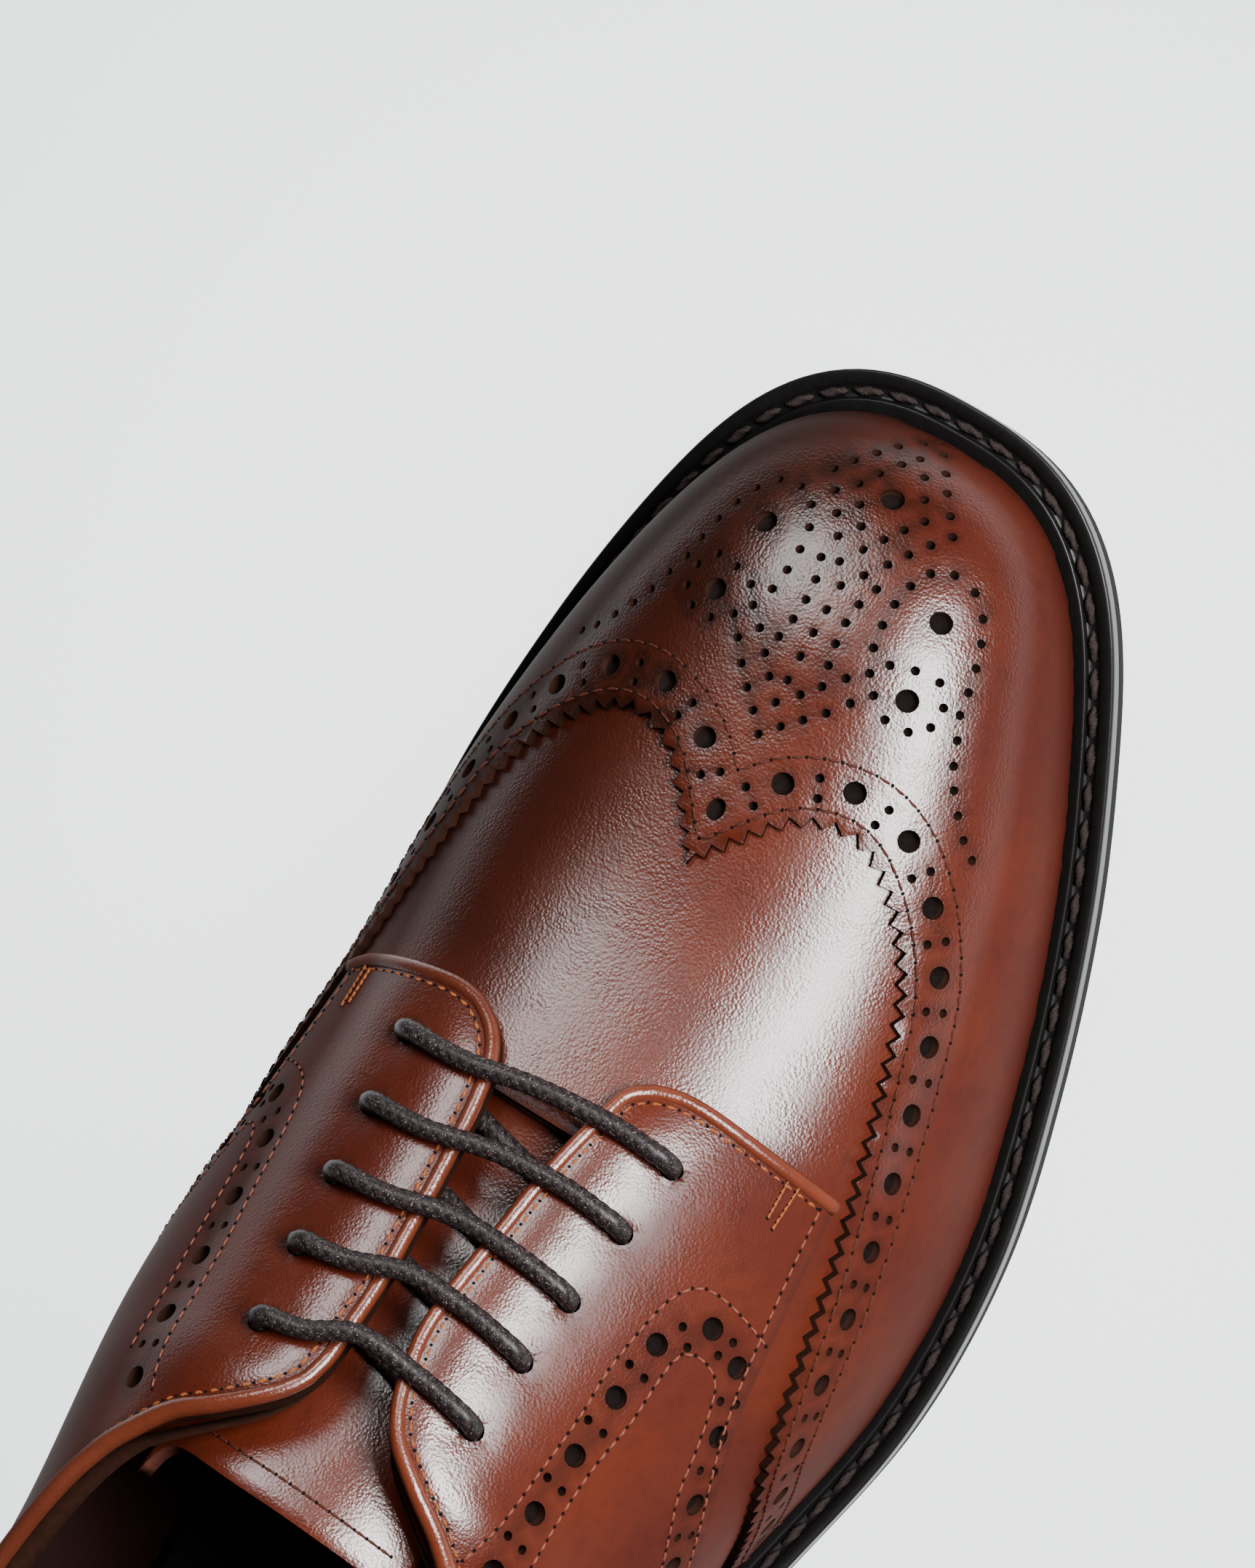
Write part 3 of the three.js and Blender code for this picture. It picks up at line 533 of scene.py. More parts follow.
def cut_panel(outline, holes, step, top, bottom, lift=None):
    """A sheet of leather with holes: triangles over its flat pattern, laid on the last."""
    edge = skin.unroll(np.asarray(outline, float))
    rounds = holes.rounds(HOLE_SIDES)
    low, high = edge.min(0), edge.max(0)
    rows = np.arange(low[1], high[1], step * 0.866)
    grid = []
    for i, g in enumerate(rows):
        s = np.arange(low[0] + (i % 2) * step / 2, high[0], step)
        grid.append(np.stack([s, np.full(len(s), g)], -1))
    grid = np.vstack(grid)
    grid = grid[inside(grid, edge)]
    _, gap = nearest(tree_of(edge), grid)
    grid = grid[(gap > 0.55 * step) & (holes.nearest(grid)[0] > 0.45 * step)]
    loops = [edge, *rounds]
    coords = np.vstack([*loops, grid])
    ends = []
    base = 0
    for loop in loops:
        ring = np.arange(len(loop))
        ends.append(np.stack([base + ring, base + np.roll(ring, -1)], -1))
        base += len(loop)
    found = delaunay_2d_cdt([Vector(c) for c in coords], np.vstack(ends).tolist(), [], 1, 1e-6)
    flat = np.array([tuple(v) for v in found[0]])
    faces = np.array([f for f in found[2] if len(f) == 3])
    faces = faces[inside(flat[faces].mean(1), edge)]
    used = np.unique(faces)
    renumber = np.full(len(flat), -1)
    renumber[used] = np.arange(len(used))
    flat, faces = flat[used], renumber[faces]
    turn = np.cross(flat[faces[:, 1]] - flat[faces[:, 0]], flat[faces[:, 2]] - flat[faces[:, 0]])
    faces[turn < 0] = faces[turn < 0][:, ::-1]
    gap, which = holes.nearest(flat[faces].mean(1))
    hole = gap < -0.02
    blind = hole & ~holes.through[which] if len(holes.radii) else hole
    face_up = faces[~hole]
    face_down = faces[~hole | blind][:, ::-1]
    floor = faces[blind]
    n = len(flat)
    rim = open_edges(face_up)
    pit = np.isin(rim, np.unique(floor)).all(1) if len(floor) else np.zeros(len(rim), bool)
    places = skin.roll(flat)
    over = np.full(n, float(top))
    round_hole = np.isin(rim, np.unique(faces[hole])).all(1)
    over[np.unique(rim[~round_hole])] -= EDGE_DIP
    over[np.unique(rim[round_hole])] -= HOLE_DIP
    if lift is not None:
        over += lift(places)
    points = np.vstack([skin.at(places, over), skin.at(places, np.full(n, float(bottom)))])
    sunk = np.unique(floor)
    points = np.vstack([points, skin.at(places[sunk], np.full(len(sunk), bottom + 0.1))])
    lowered = np.full(n, -1)
    lowered[sunk] = 2 * n + np.arange(len(sunk))
    ends = rim[~pit]
    walls = np.stack([ends[:, 1], ends[:, 0], ends[:, 0] + n, ends[:, 1] + n], -1)
    ends = rim[pit]
    pit_walls = np.stack([ends[:, 1], ends[:, 0], lowered[ends[:, 0]], lowered[ends[:, 1]]], -1)
    values = {k: np.concatenate([v, v, v[sunk]]) for k, v in burnish_and_side_shade(places).items()}
    rim_share = np.zeros(len(points))
    rim_share[np.unique(rim)] = 1
    made = Mesh()
    made.add(points, face_up, 0, **values, rim=rim_share)
    for more, finish in ((face_down + n, 2), (walls, 1), (pit_walls, 1), (lowered[floor], 3)):
        made.face(more, finish)
    made.sharp += [(a, b) for a, b in rim.tolist()]
    made.sharp += [(n + a, n + b) for a, b in rim[~pit].tolist()]
    return made


def open_edges(faces):
    pairs = np.vstack([faces[:, [i, (i + 1) % faces.shape[1]]] for i in range(faces.shape[1])])
    known = {(b, a) for a, b in pairs.tolist()}
    return np.array([p for p in pairs.tolist() if tuple(p) not in known])


def grid_faces(rows, columns, wrap_rows=False, wrap_columns=False):
    r = np.arange(rows if wrap_rows else rows - 1)
    c = np.arange(columns if wrap_columns else columns - 1)
    r, c = [v.ravel() for v in np.meshgrid(r, c, indexing="ij")]
    r2, c2 = (r + 1) % rows, (c + 1) % columns
    return np.stack([r * columns + c, r2 * columns + c, r2 * columns + c2, r * columns + c2], -1)


def tube(path, radius, ups, sides, flat):
    """A round cord along points; ups fixes its turn, flat squeezes it along them."""
    ahead = np.vstack([path[1:2] - path[:1], path[2:] - path[:-2], path[-1:] - path[-2:-1]])
    ahead /= np.linalg.norm(ahead, axis=1, keepdims=True)
    up = ups - (ups * ahead).sum(1, keepdims=True) * ahead
    up /= np.linalg.norm(up, axis=1, keepdims=True)
    side = np.cross(ahead, up)
    t = np.arange(sides) * 2 * math.pi / sides
    around = side[:, None] * np.cos(t)[:, None] + up[:, None] * (flat * np.sin(t))[:, None]
    points = (path[:, None] + np.reshape(radius, (len(path), -1, 1)) * around).reshape(-1, 3)
    faces = grid_faces(len(path), sides, False, True)[:, ::-1]
    n = len(points)
    ring = np.arange(sides)
    after = (ring + 1) % sides
    last = n - sides
    first_end = np.stack([after, ring, np.full(sides, n)], -1)
    last_end = np.stack([last + ring, last + after, np.full(sides, n + 1)], -1)
    return np.vstack([points, path[:1], path[-1:]]), faces, (first_end, last_end)


# Materials

class Net:
    """A node tree; calling it adds a node: its kind, its settings, then values or links by socket."""

    def __init__(self, tree):
        self.tree = tree

    def __call__(self, kind, settings=None, inputs=None):
        node = self.tree.nodes.new(kind)
        for name, value in (settings or {}).items():
            setattr(node, name, value)
        for key, value in (inputs or {}).items():
            self.feed(node.inputs[key], value)
        return node

    def feed(self, socket, value):
        if isinstance(value, Term):
            value = value.socket
        if isinstance(value, bpy.types.NodeSocket):
            self.tree.links.new(value, socket)
        else:
            socket.default_value = value

    def math(self, operation, *values, clamp=False):
        settings = {"operation": operation, "use_clamp": clamp}
        return Term(self, self("ShaderNodeMath", settings, dict(enumerate(values))).outputs[0])

    def attribute(self, name):
        return Term(self, self("ShaderNodeAttribute", {"attribute_name": name}).outputs["Fac"])

    def noise(self, where, scale, detail=2.0, roughness=0.5):
        inputs = {"Vector": where, "Scale": scale, "Detail": detail, "Roughness": roughness}
        return Term(self, self("ShaderNodeTexNoise", None, inputs).outputs["Fac"])

    def cells(self, where, scale, randomness):
        inputs = {"Vector": where, "Scale": scale, "Randomness": randomness}
        return Term(self, self("ShaderNodeTexVoronoi", {"feature": "F1"}, inputs).outputs["Distance"])

    def ease(self, value, low, high, out_low=0.0, out_high=1.0):
        inputs = {"Value": value, "From Min": low, "From Max": high, "To Min": out_low, "To Max": out_high}
        settings = {"interpolation_type": "SMOOTHSTEP"}
        return Term(self, self("ShaderNodeMapRange", settings, inputs).outputs["Result"])

    def blend(self, share, a, b):
        settings = {"data_type": "RGBA"}
        return self("ShaderNodeMix", settings, {0: share, 6: a, 7: b}).outputs[2]

    def bump(self, height, distance):
        inputs = {"Height": height, "Distance": distance, "Strength": 1.0}
        return self("ShaderNodeBump", None, inputs).outputs["Normal"]


class Term:
    """A number in a node tree, with ordinary arithmetic."""

    def __init__(self, net, socket):
        self.net = net
        self.socket = socket

    def __add__(self, other):
        return self.net.math("ADD", self, other)

    def __radd__(self, other):
        return self.net.math("ADD", other, self)

    def __sub__(self, other):
        return self.net.math("SUBTRACT", self, other)

    def __rsub__(self, other):
        return self.net.math("SUBTRACT", other, self)

    def __mul__(self, other):
        return self.net.math("MULTIPLY", self, other)

    def __rmul__(self, other):
        return self.net.math("MULTIPLY", other, self)

    def __pow__(self, other):
        return self.net.math("POWER", self, other)


def colour(text):
    """A linear colour from its sRGB hex."""
    parts = [int(text[i : i + 2], 16) / 255 for i in (0, 2, 4)]
    return (*[c / 12.92 if c <= 0.04045 else ((c + 0.055) / 1.055) ** 2.4 for c in parts], 1.0)


def material(name, paint, worn=None):
    """paint(net, where) gives the surface shader's values and links; worn's take over where gloss is 0."""
    made = bpy.data.materials.new(name)
    made.use_nodes = True
    tree = made.node_tree
    tree.nodes.clear()
    net = Net(tree)
    where = net("ShaderNodeTexCoord").outputs["Object"]
    look = paint(net, where)
    surface = net("ShaderNodeBsdfPrincipled", None, look)
    if worn:
        dull = net("ShaderNodeBsdfPrincipled", None, {**look, **worn})
        both = net("ShaderNodeMixShader", None, {"Fac": net.attribute("gloss")})
        tree.links.new(dull.outputs[0], both.inputs[1])
        tree.links.new(surface.outputs[0], both.inputs[2])
        surface = both
    out = net("ShaderNodeOutputMaterial")
    tree.links.new(surface.outputs[0], out.inputs["Surface"])
    return made


PEBBLE = 0.46  # size of the grain's pebbles
GRAIN_DEPTH = 0.00006
GLOSS_ROUGHNESS = 0.2
DULL = {"Roughness": 0.75, "Specular IOR Level": 0.05}


def grain(net, where):
    """Fine pebbles and creases of calf leather, as a height from 0 to 1."""
    scale = 1000 / PEBBLE
    pebble = net.cells(where, scale, 0.9)
    fine = net.noise(where, scale * 2.6, 2.0, 0.6)
    broad = net.noise(where, scale * 0.1, 2.0, 0.5)
    return (1.0 - pebble) * net.ease(broad, 0.3, 0.75, 0.5, 1.0) * 0.75 + fine * 0.35


def leather(name, mid, deep, light, wine):
    """Clouded calf, deeper at the toe and cut rims, wine red above the sole, and darker on the inner side as
    painted shade.
    """
    def paint(net, where):
        low, toe, inner, rim = [net.attribute(key) for key in ("low", "toe", "inner", "rim")]
        cloud = net.noise(where, 45.0, 3.0, 0.55)
        mottle = net.noise(where, 420.0, 3.0, 0.6)
        base = net.blend(net.ease(cloud, 0.35, 0.68), colour(mid), colour(light))
        base = net.blend(net.ease(mottle, 0.42, 0.75) * 0.2, base, colour(deep))
        base = net.blend(net.math("MULTIPLY", low, 0.75, clamp=True), base, colour(wine))
        # Painted shade: the inner side blends towards deep, more so at the front.
        inner_side_painted_shade = net.ease(inner, -0.3, 0.9) * net.attribute("front") * 0.85
        dark = net.math("ADD", toe * 0.25 + inner_side_painted_shade, rim * 0.4, clamp=True)
        base = net.blend(dark, base, colour(deep))
        height = grain(net, where)
        return {
            "Base Color": base,
            "Roughness": net.ease(height, 0.2, 1.1, GLOSS_ROUGHNESS + 0.05, GLOSS_ROUGHNESS - 0.05),
            "Normal": net.bump(height, GRAIN_DEPTH),
            "Specular IOR Level": 0.38,
        }

    return material(name, paint, DULL)


def plain(name, tint, rough, bumps=0.00003, scale=900.0, vary=0.25, shine=0.15):
    """One colour with a little cloud and bumps in it."""
    def paint(net, where):
        cloud = net.noise(where, scale, 3.0, 0.6)
        shade = colour(tint)
        darker = tuple(c * (1 - vary) for c in shade[:3]) + (1.0,)
        return {
            "Base Color": net.blend(net.ease(cloud, 0.3, 0.7), darker, shade),
            "Roughness": rough,
            "Normal": net.bump(cloud, bumps),
            "Specular IOR Level": shine,
        }

    return material(name, paint)


calf = leather("calf", "320f08", "150401", "391308", "290602")
cut_edge = plain("cut_edge", "1a0c07", 0.8, shine=0.03)
raw_edge = plain("raw_edge", "321913", 0.7, shine=0.05)
# Painted shade: the hole floors are near black so that the holes read as dark; also used for the needle-hole
# dots.
pit_shade_black = plain("pit_shade_black", "0f0b0a", 0.9, scale=1500.0, shine=0.0)
backing = plain("backing", "1a0a06", 0.8, shine=0.03)
lining = plain("lining", "160604", 0.6, scale=500.0)
welt_black = plain("welt_black", "080707", 0.36, scale=600.0)
welt_side = plain("welt_side", "0c0b0b", 0.85, scale=400.0, shine=0.05)
heel_black = plain("heel_black", "0d0b0a", 0.45, scale=500.0)
rubber = plain("rubber", "131212", 0.8, scale=700.0)
sock = plain("sock", "090504", 0.75, scale=400.0, shine=0.05)
bead_leather = leather("bead_leather", "421b0f", "200a05", "4a2012", "340f07")
welt_thread = plain("welt_thread", "201a19", 0.7, 0.00008, 3000.0, 0.5, 0.05)
dark_thread = plain("dark_thread", "30150d", 0.6, 0.00004, 3500.0, shine=0.08)
pale_thread = plain("pale_thread", "583025", 0.6, 0.00004, 3500.0, shine=0.08)
tan_thread = plain("tan_thread", "663619", 0.6, 0.00004, 3500.0, shine=0.08)


def braid_paint(net, where):
    knot = net.attribute("knot")
    speck = net.noise(where, 3600.0, 2.0, 0.7)
    # Painted shade: the braid is darker in its grooves, where the cord is thin, and lighter on its raised
    # knots.
    strand_groove_shade = net.blend(net.ease(knot, 0.2, 0.9), colour("080606"), colour("1b1415"))
    return {
        "Base Color": net.blend(net.ease(speck, 0.6, 0.68) * 0.6, strand_groove_shade, colour("655a58")),
        "Roughness": 0.42,
        "Normal": net.bump(speck, 0.00004),
        "Specular IOR Level": 0.16,
    }


braid = material("braid", braid_paint)


# Stitches, each an instance of one twisted loop of thread

STITCH_SIZES = {"Length": 2.0, "Width": 0.6, "Sink": 0.35, "Twist": 5.0, "Jitter": 0.06}


STITCH_STEPS, STITCH_SIDES = 9, 7


def sized_tree(name, labels):
    """An empty tree with these named sizes, its net, its points and the sizes in it."""
    tree = bpy.data.node_groups.new(name, "GeometryNodeTree")
    tree.interface.new_socket("Geometry", in_out="INPUT", socket_type="NodeSocketGeometry")
    for label in labels:
        tree.interface.new_socket(label, in_out="INPUT", socket_type="NodeSocketFloat")
    tree.interface.new_socket("Geometry", in_out="OUTPUT", socket_type="NodeSocketGeometry")
    net = Net(tree)
    given = net("NodeGroupInput").outputs
    return tree, net, given["Geometry"], {label: Term(net, given[label]) for label in labels}


def read(net, name):
    """A vector kept on the points."""
    settings = {"data_type": "FLOAT_VECTOR"}
    return net("GeometryNodeInputNamedAttribute", settings, {"Name": name}).outputs["Attribute"]


def stitch_tree(name, finish):
    tree, net, points, size = sized_tree(name, STITCH_SIZES)

    def vector(x=0.0, y=0.0, z=0.0):
        return net("ShaderNodeCombineXYZ", None, {0: x, 1: y, 2: z}).outputs[0]

    half = size["Length"] * 0.5
    start, end = vector(half * -1.0), vector(half)
    line = net("GeometryNodeCurvePrimitiveLine", None, {"Start": start, "End": end})
    fine = net("GeometryNodeResampleCurve", None, {"Curve": line.outputs["Curve"], "Count": STITCH_STEPS})
    at = Term(net, net("GeometryNodeSplineParameter").outputs["Factor"])
    out = net.math("ABSOLUTE", at * 2.0 - 1.0)
    drop = vector(0.0, 0.0, size["Sink"] * (out**3.0) * -1.0)
    bent = net("GeometryNodeSetPosition", None, {"Geometry": fine.outputs["Curve"], "Offset": drop})
    inputs = {"Curve": bent.outputs["Geometry"], "Radius": 1.0 - (out**4.0) * 0.55}
    sized = net("GeometryNodeSetCurveRadius", None, inputs)
    inputs = {"Curve": sized.outputs["Curve"], "Tilt": at * size["Twist"]}
    turned = net("GeometryNodeSetCurveTilt", None, inputs)
    inputs = {"Resolution": STITCH_SIDES, "Radius": size["Width"] * 0.5}
    ring = net("GeometryNodeCurvePrimitiveCircle", None, inputs)
    squeeze = {"Geometry": ring.outputs["Curve"], "Scale": vector(1.0, 0.72, 1.0)}
    profile = net("GeometryNodeTransform", None, squeeze)
    inputs = {
        "Curve": turned.outputs["Curve"],
        "Profile Curve": profile.outputs["Geometry"],
        "Fill Caps": True,
        "Scale": net("GeometryNodeInputRadius").outputs[0],
    }
    thread = net("GeometryNodeCurveToMesh", None, inputs)
    upright = net("FunctionNodeAlignRotationToVector", {"axis": "Z"}, {"Vector": read(net, "upward")})
    inputs = {"Rotation": upright.outputs["Rotation"], "Vector": read(net, "heading")}
    aimed = net("FunctionNodeAlignRotationToVector", {"axis": "X", "pivot_axis": "Z"}, inputs)
    low, high = 1.0 - size["Jitter"], 1.0 + size["Jitter"]
    wobble = net("FunctionNodeRandomValue", {"data_type": "FLOAT"}, {2: low, 3: high, "Seed": 7})
    inputs = {0: read(net, "size"), "Scale": wobble.outputs[1]}
    spread = net("ShaderNodeVectorMath", {"operation": "SCALE"}, inputs)
    inputs = {
        "Points": points,
        "Instance": thread.outputs["Mesh"],
        "Rotation": aimed.outputs["Rotation"],
        "Scale": spread.outputs["Vector"],
    }
    placed = net("GeometryNodeInstanceOnPoints", None, inputs)
    real = net("GeometryNodeRealizeInstances", None, {"Geometry": placed.outputs["Instances"]})
    smooth = net("GeometryNodeSetShadeSmooth", None, {"Geometry": real.outputs["Geometry"]})
    inputs = {"Geometry": smooth.outputs[0], "Material": finish}
    painted = net("GeometryNodeSetMaterial", None, inputs)
    net("NodeGroupOutput", None, {0: painted.outputs["Geometry"]})
    return tree


def grown(name, points, upward, heading, size, tree, sizes):
    """Runs a tree over points and keeps what it makes as a piece."""
    mesh = bpy.data.meshes.new(name)
    mesh.from_pydata(((points + SHIFT) * MM).tolist(), [], [])
    for key, values in (("upward", upward), ("heading", heading), ("size", size)):
        flat = np.ascontiguousarray(values, np.float32).ravel()
        mesh.attributes.new(key, "FLOAT_VECTOR", "POINT").data.foreach_set("vector", flat)
    thing = bpy.data.objects.new(name, mesh)
    bpy.context.scene.collection.objects.link(thing)
    modifier = thing.modifiers.new(name, "NODES")
    modifier.node_group = tree
    for item in tree.interface.items_tree:
        if item.in_out == "INPUT" and item.name in sizes:
            modifier[item.identifier] = sizes[item.name]
    reading = bpy.context.evaluated_depsgraph_get()
    made = bpy.data.meshes.new_from_object(thing.evaluated_get(reading))
    thing.modifiers.remove(modifier)
    thing.data = made
    made.name = name
    return settle(thing)


class Stitches:
    """Gathers the stitches of one thread."""

    def __init__(self):
        self.rows = []

    def along(self, line, pitch, out, length, raised=False):
        """Stitches end to end along a line, out millimetres off the last, with dark dots of painted shade for
        the needle holes between them.
        """
        run = spaced(np.asarray(line, float), pitch)
        middle = (run[1:] + run[:-1]) / 2
        points = skin.at(run, out + puff(run) * raised)
        centres = skin.at(middle, out + puff(middle) * raised)
        self.raw(centres, skin.normals(middle), points[1:] - points[:-1], length)
        needle_hole_shade_dots.append((points - skin.normals(run) * 0.02, skin.normals(run)))

    def raw(self, points, upward, heading, length):
        self.rows.append((points, upward, heading, np.broadcast_to(length, (len(points),))))

    def build(self, name, finish, sizes, slot):
        points, upward, heading, length = [np.concatenate(part) for part in zip(*self.rows)]
        size = np.ones((len(points), 3))
        size[:, 0] = length / (sizes["Length"] / MM)
        tree = stitch_tree(name + "_tree", finish)
        return grown(name, points, upward, heading, size, tree, sizes)


def needle_shade_tree(name, finish):
    """A shallow dark dot of painted shade where the needle went through."""
    tree, net, points, size = sized_tree(name, ["Radius"])
    radius = size["Radius"]
    inputs = {"Vertices": 8, "Radius Top": radius * 0.7, "Radius Bottom": radius, "Depth": radius * 0.4}
    dot = net("GeometryNodeMeshCone", None, inputs)
    turn = net("FunctionNodeAlignRotationToVector", {"axis": "Z"}, {"Vector": read(net, "upward")})
    inputs = {"Points": points, "Instance": dot.outputs["Mesh"], "Rotation": turn.outputs["Rotation"]}
    placed = net("GeometryNodeInstanceOnPoints", None, inputs)
    real = net("GeometryNodeRealizeInstances", None, {"Geometry": placed.outputs["Instances"]})
    inputs = {"Geometry": real.outputs["Geometry"], "Material": finish}
    painted = net("GeometryNodeSetMaterial", None, inputs)
    net("NodeGroupOutput", None, {0: painted.outputs["Geometry"]})
    return tree


def thread(length, width, sink, twist=5.0):
    return {"Length": length * MM, "Width": width * MM, "Sink": sink * MM, "Twist": twist, "Jitter": 0.05}


# Pattern lines of the leather, in places on the outer side unless said otherwise

def table(rows):
    return np.asarray(rows, float) * [LENGTH, -BALL_WIDTH]


def down_to_foot(line, lean=0.15):
    """Takes a line down to the feather line, or cuts it there."""
    side = -1 if line[-1, 1] < 0 else 1
    drop = np.arange(1, 40)[:, None] * [-lean, side]
    longer = np.vstack([line, line[-1] + drop])
    room = skin.foot(longer[:, 0], side) - np.abs(longer[:, 1])
    end = np.argmax(room <= 0)
    t = room[end - 1] / (room[end - 1] - room[end])
    return np.vstack([longer[:end], longer[end - 1] + t * (longer[end] - longer[end - 1])])


WING_EDGE = curve(table([
    (0.793, 0.0), (0.806, 0.04), (0.823, 0.086), (0.832, 0.12), (0.837, 0.165), (0.836, 0.205), (0.828, 0.25),
    (0.81, 0.31), (0.785, 0.366), (0.75, 0.41), (0.71, 0.458), (0.66, 0.52), (0.617, 0.577), (0.584, 0.642),
    (0.557, 0.726), (0.528, 0.868), (0.508, 0.985),
]))
SEAM = curve(table([
    (0.695, 0.456), (0.667, 0.469), (0.626, 0.496), (0.593, 0.53), (0.56, 0.6), (0.515, 0.74), (0.47, 0.92),
]))
# The two quarters aren't quite the same; each list is the outer side's way round, girth negative
FRONTS = {
    -1: [(205.7, -40.7), (207.0, -34.0), (208.2, -27.0), (209.2, -20.4), (209.3, -15.5), (208.3, -11.6)],
    1: [(199.0, -41.8), (201.8, -36.0), (204.1, -29.0), (205.9, -22.0), (206.8, -17.0), (206.5, -13.2)],
}
EDGES = {
    -1: [(208.3, -11.6), (206.2, -8.9), (203.2, -7.9), (199.3, -7.1), (191.3, -5.6), (181.1, -4.6),
         (173.9, -4.1), (168.2, -4.4), (162.2, -6.2), (158.4, -8.0), (155.2, -10.6), (151.3, -15.8),
         (147.6, -21.4)],
    1: [(206.5, -13.2), (204.7, -10.0), (202.0, -7.6), (197.5, -6.0), (189.0, -4.7), (180.0, -3.7),
        (171.0, -2.5), (162.5, -1.6), (159.0, -1.5), (155.8, -2.4), (152.2, -5.0), (147.9, -10.0),
        (144.0, -15.6)],
}
COLLAR_JOINS = {-1: 143.0, 1: 138.0}  # from here back, the collar follows its height
EYELETS = {
    -1: [(200.2, -19.0), (190.4, -18.0), (180.2, -17.2), (171.2, -16.7), (161.4, -16.9)],
    1: [(197.3, -19.6), (187.5, -18.0), (178.1, -16.6), (168.7, -14.6), (158.9, -12.2)],
}
TACKS = {
    -1: [((205.6, -32.6), (200.4, -32.9)), ((205.6, -34.4), (199.4, -34.3))],
    1: [((200.4, -34.0), (195.2, -34.3)), ((200.2, -35.8), (194.2, -35.7))],
}
EYELET_RADIUS = 1.6
BIG, SMALL = 1.55, 0.62  # radii of the brogue holes
BIG_PITCH = 9.35
PAIR = 1.35  # half the way across a pair of small holes
INNER_ROW, HOLE_ROW, OUTER_ROW = 2.5, 5.9, 9.2
PANEL_STEP, PANEL_UNDER = 1.7, 0.65
PINK_PITCH, PINK_DEPTH = 2.65, 1.5
PUFF, PUFF_AT, PUFF_FALL = 2.4, 5.0, 26.0


def puff(places):
    """How far the facings stand off the foot, most just inside their rolled edges."""
    s, g = places[:, 0], places[:, 1]
    lift = np.zeros(len(s))
    for side in (-1, 1):
        past = side * g + np.interp(s, *np.transpose(EDGES[side][::-1]))
        crown = 1 - (np.clip(PUFF_AT - past, 0, 9) / 9) ** 2
        fall = 0.5 + 0.5 * np.cos(math.pi * np.clip((past - PUFF_AT) / PUFF_FALL, 0, 1))
        along = ease01((212 - s) / 14) * ease01((s - 140) / 14)
        lift = np.maximum(lift, PUFF * crown * fall * along * (past > -3))
    return lift


def collar(side):
    """The quarter's edge from the facing's corner back to the heel, as for the outer side."""
    s = COLLAR_JOINS[side] * (1 - np.linspace(0, 1, 46))
    s = s[s > 0.15]
    share = follow(TOPLINE["at"], TOPLINE["outer" if side < 0 else "inner"], s / LENGTH)
    extra = (BACK_HEIGHT - SIDE_HEIGHT) * follow(TOPLINE["at"], TOPLINE["back"], s / LENGTH)
    height = skin.at_height(s, side, EDGE + HEEL_LIFT + SIDE_HEIGHT * share + extra)
    return np.stack([s, -np.abs(height)], -1)


def top_edge(side):
    """From the facing's front corner round to the heel, as for the outer side."""
    line = curve(np.vstack([EDGES[side], collar(side)]), 6)
    return line[line[:, 0] > 0.1]


def quarter_seam(side):
    line = down_to_foot(SEAM)
    line[-1, 1] = -skin.foot(line[-1, 0], side)
    start = FRONTS[side][0]
    return np.vstack([[start], line[line[:, 0] < start[0] - 1]])


def on_side(line, side):
    return np.asarray(line, float) * [1, -side]


def wing_row(distance):
    """A line inside the wing's edge, from the crest out, its cusp cut at the crest."""
    line = beside(down_to_foot(WING_EDGE), distance)
    over = np.where(line[:40, 1] > 0)[0]
    if len(over):
        i = over[-1]
        t = line[i, 1] / (line[i, 1] - line[i + 1, 1])
        line = np.vstack([line[i] + t * (line[i + 1] - line[i]), line[i + 1 :]])
    room = skin.foot(line[:, 0], -1) - np.abs(line[:, 1])
    return line[room > 0.5]


def pinked(line):
    """A zigzag edge with its tips on the line."""
    even = spaced(line, count=2 * int(round(lengths(line)[-1] / PINK_PITCH)))
    root = beside(even, PINK_DEPTH)
    even[1::2] = root[1::2]
    return even


def hole_pairs(centres):
    """Pairs of small holes set across the band, midway between the big ones."""
    middle = (centres[1:] + centres[:-1]) / 2
    along = centres[1:] - centres[:-1]
    ts, tg = skin.slopes(middle)
    way = along[:, :1] * ts + along[:, 1:] * tg
    across = np.stack([-along[:, 1], along[:, 0]], -1)
    wide = across[:, :1] * ts + across[:, 1:] * tg
    across -= ((wide * way).sum(1) / (way * way).sum(1))[:, None] * along
    return np.vstack([skin.shift(middle, across, PAIR), skin.shift(middle, across, -PAIR)])


def wing_holes():
    line = wing_row(HOLE_ROW)
    run = lengths(line)
    start = run[np.argmin(np.hypot(*(line - [249.4, -6.2]).T))]
    rest = picked(line, run, np.arange(start, run[-1] - 3, BIG_PITCH))
    big = np.vstack([[(242.8, 0.0)], rest])
    small = hole_pairs(big)
    return np.vstack([big, mirrored(rest)]), np.vstack([small, mirrored(small)])
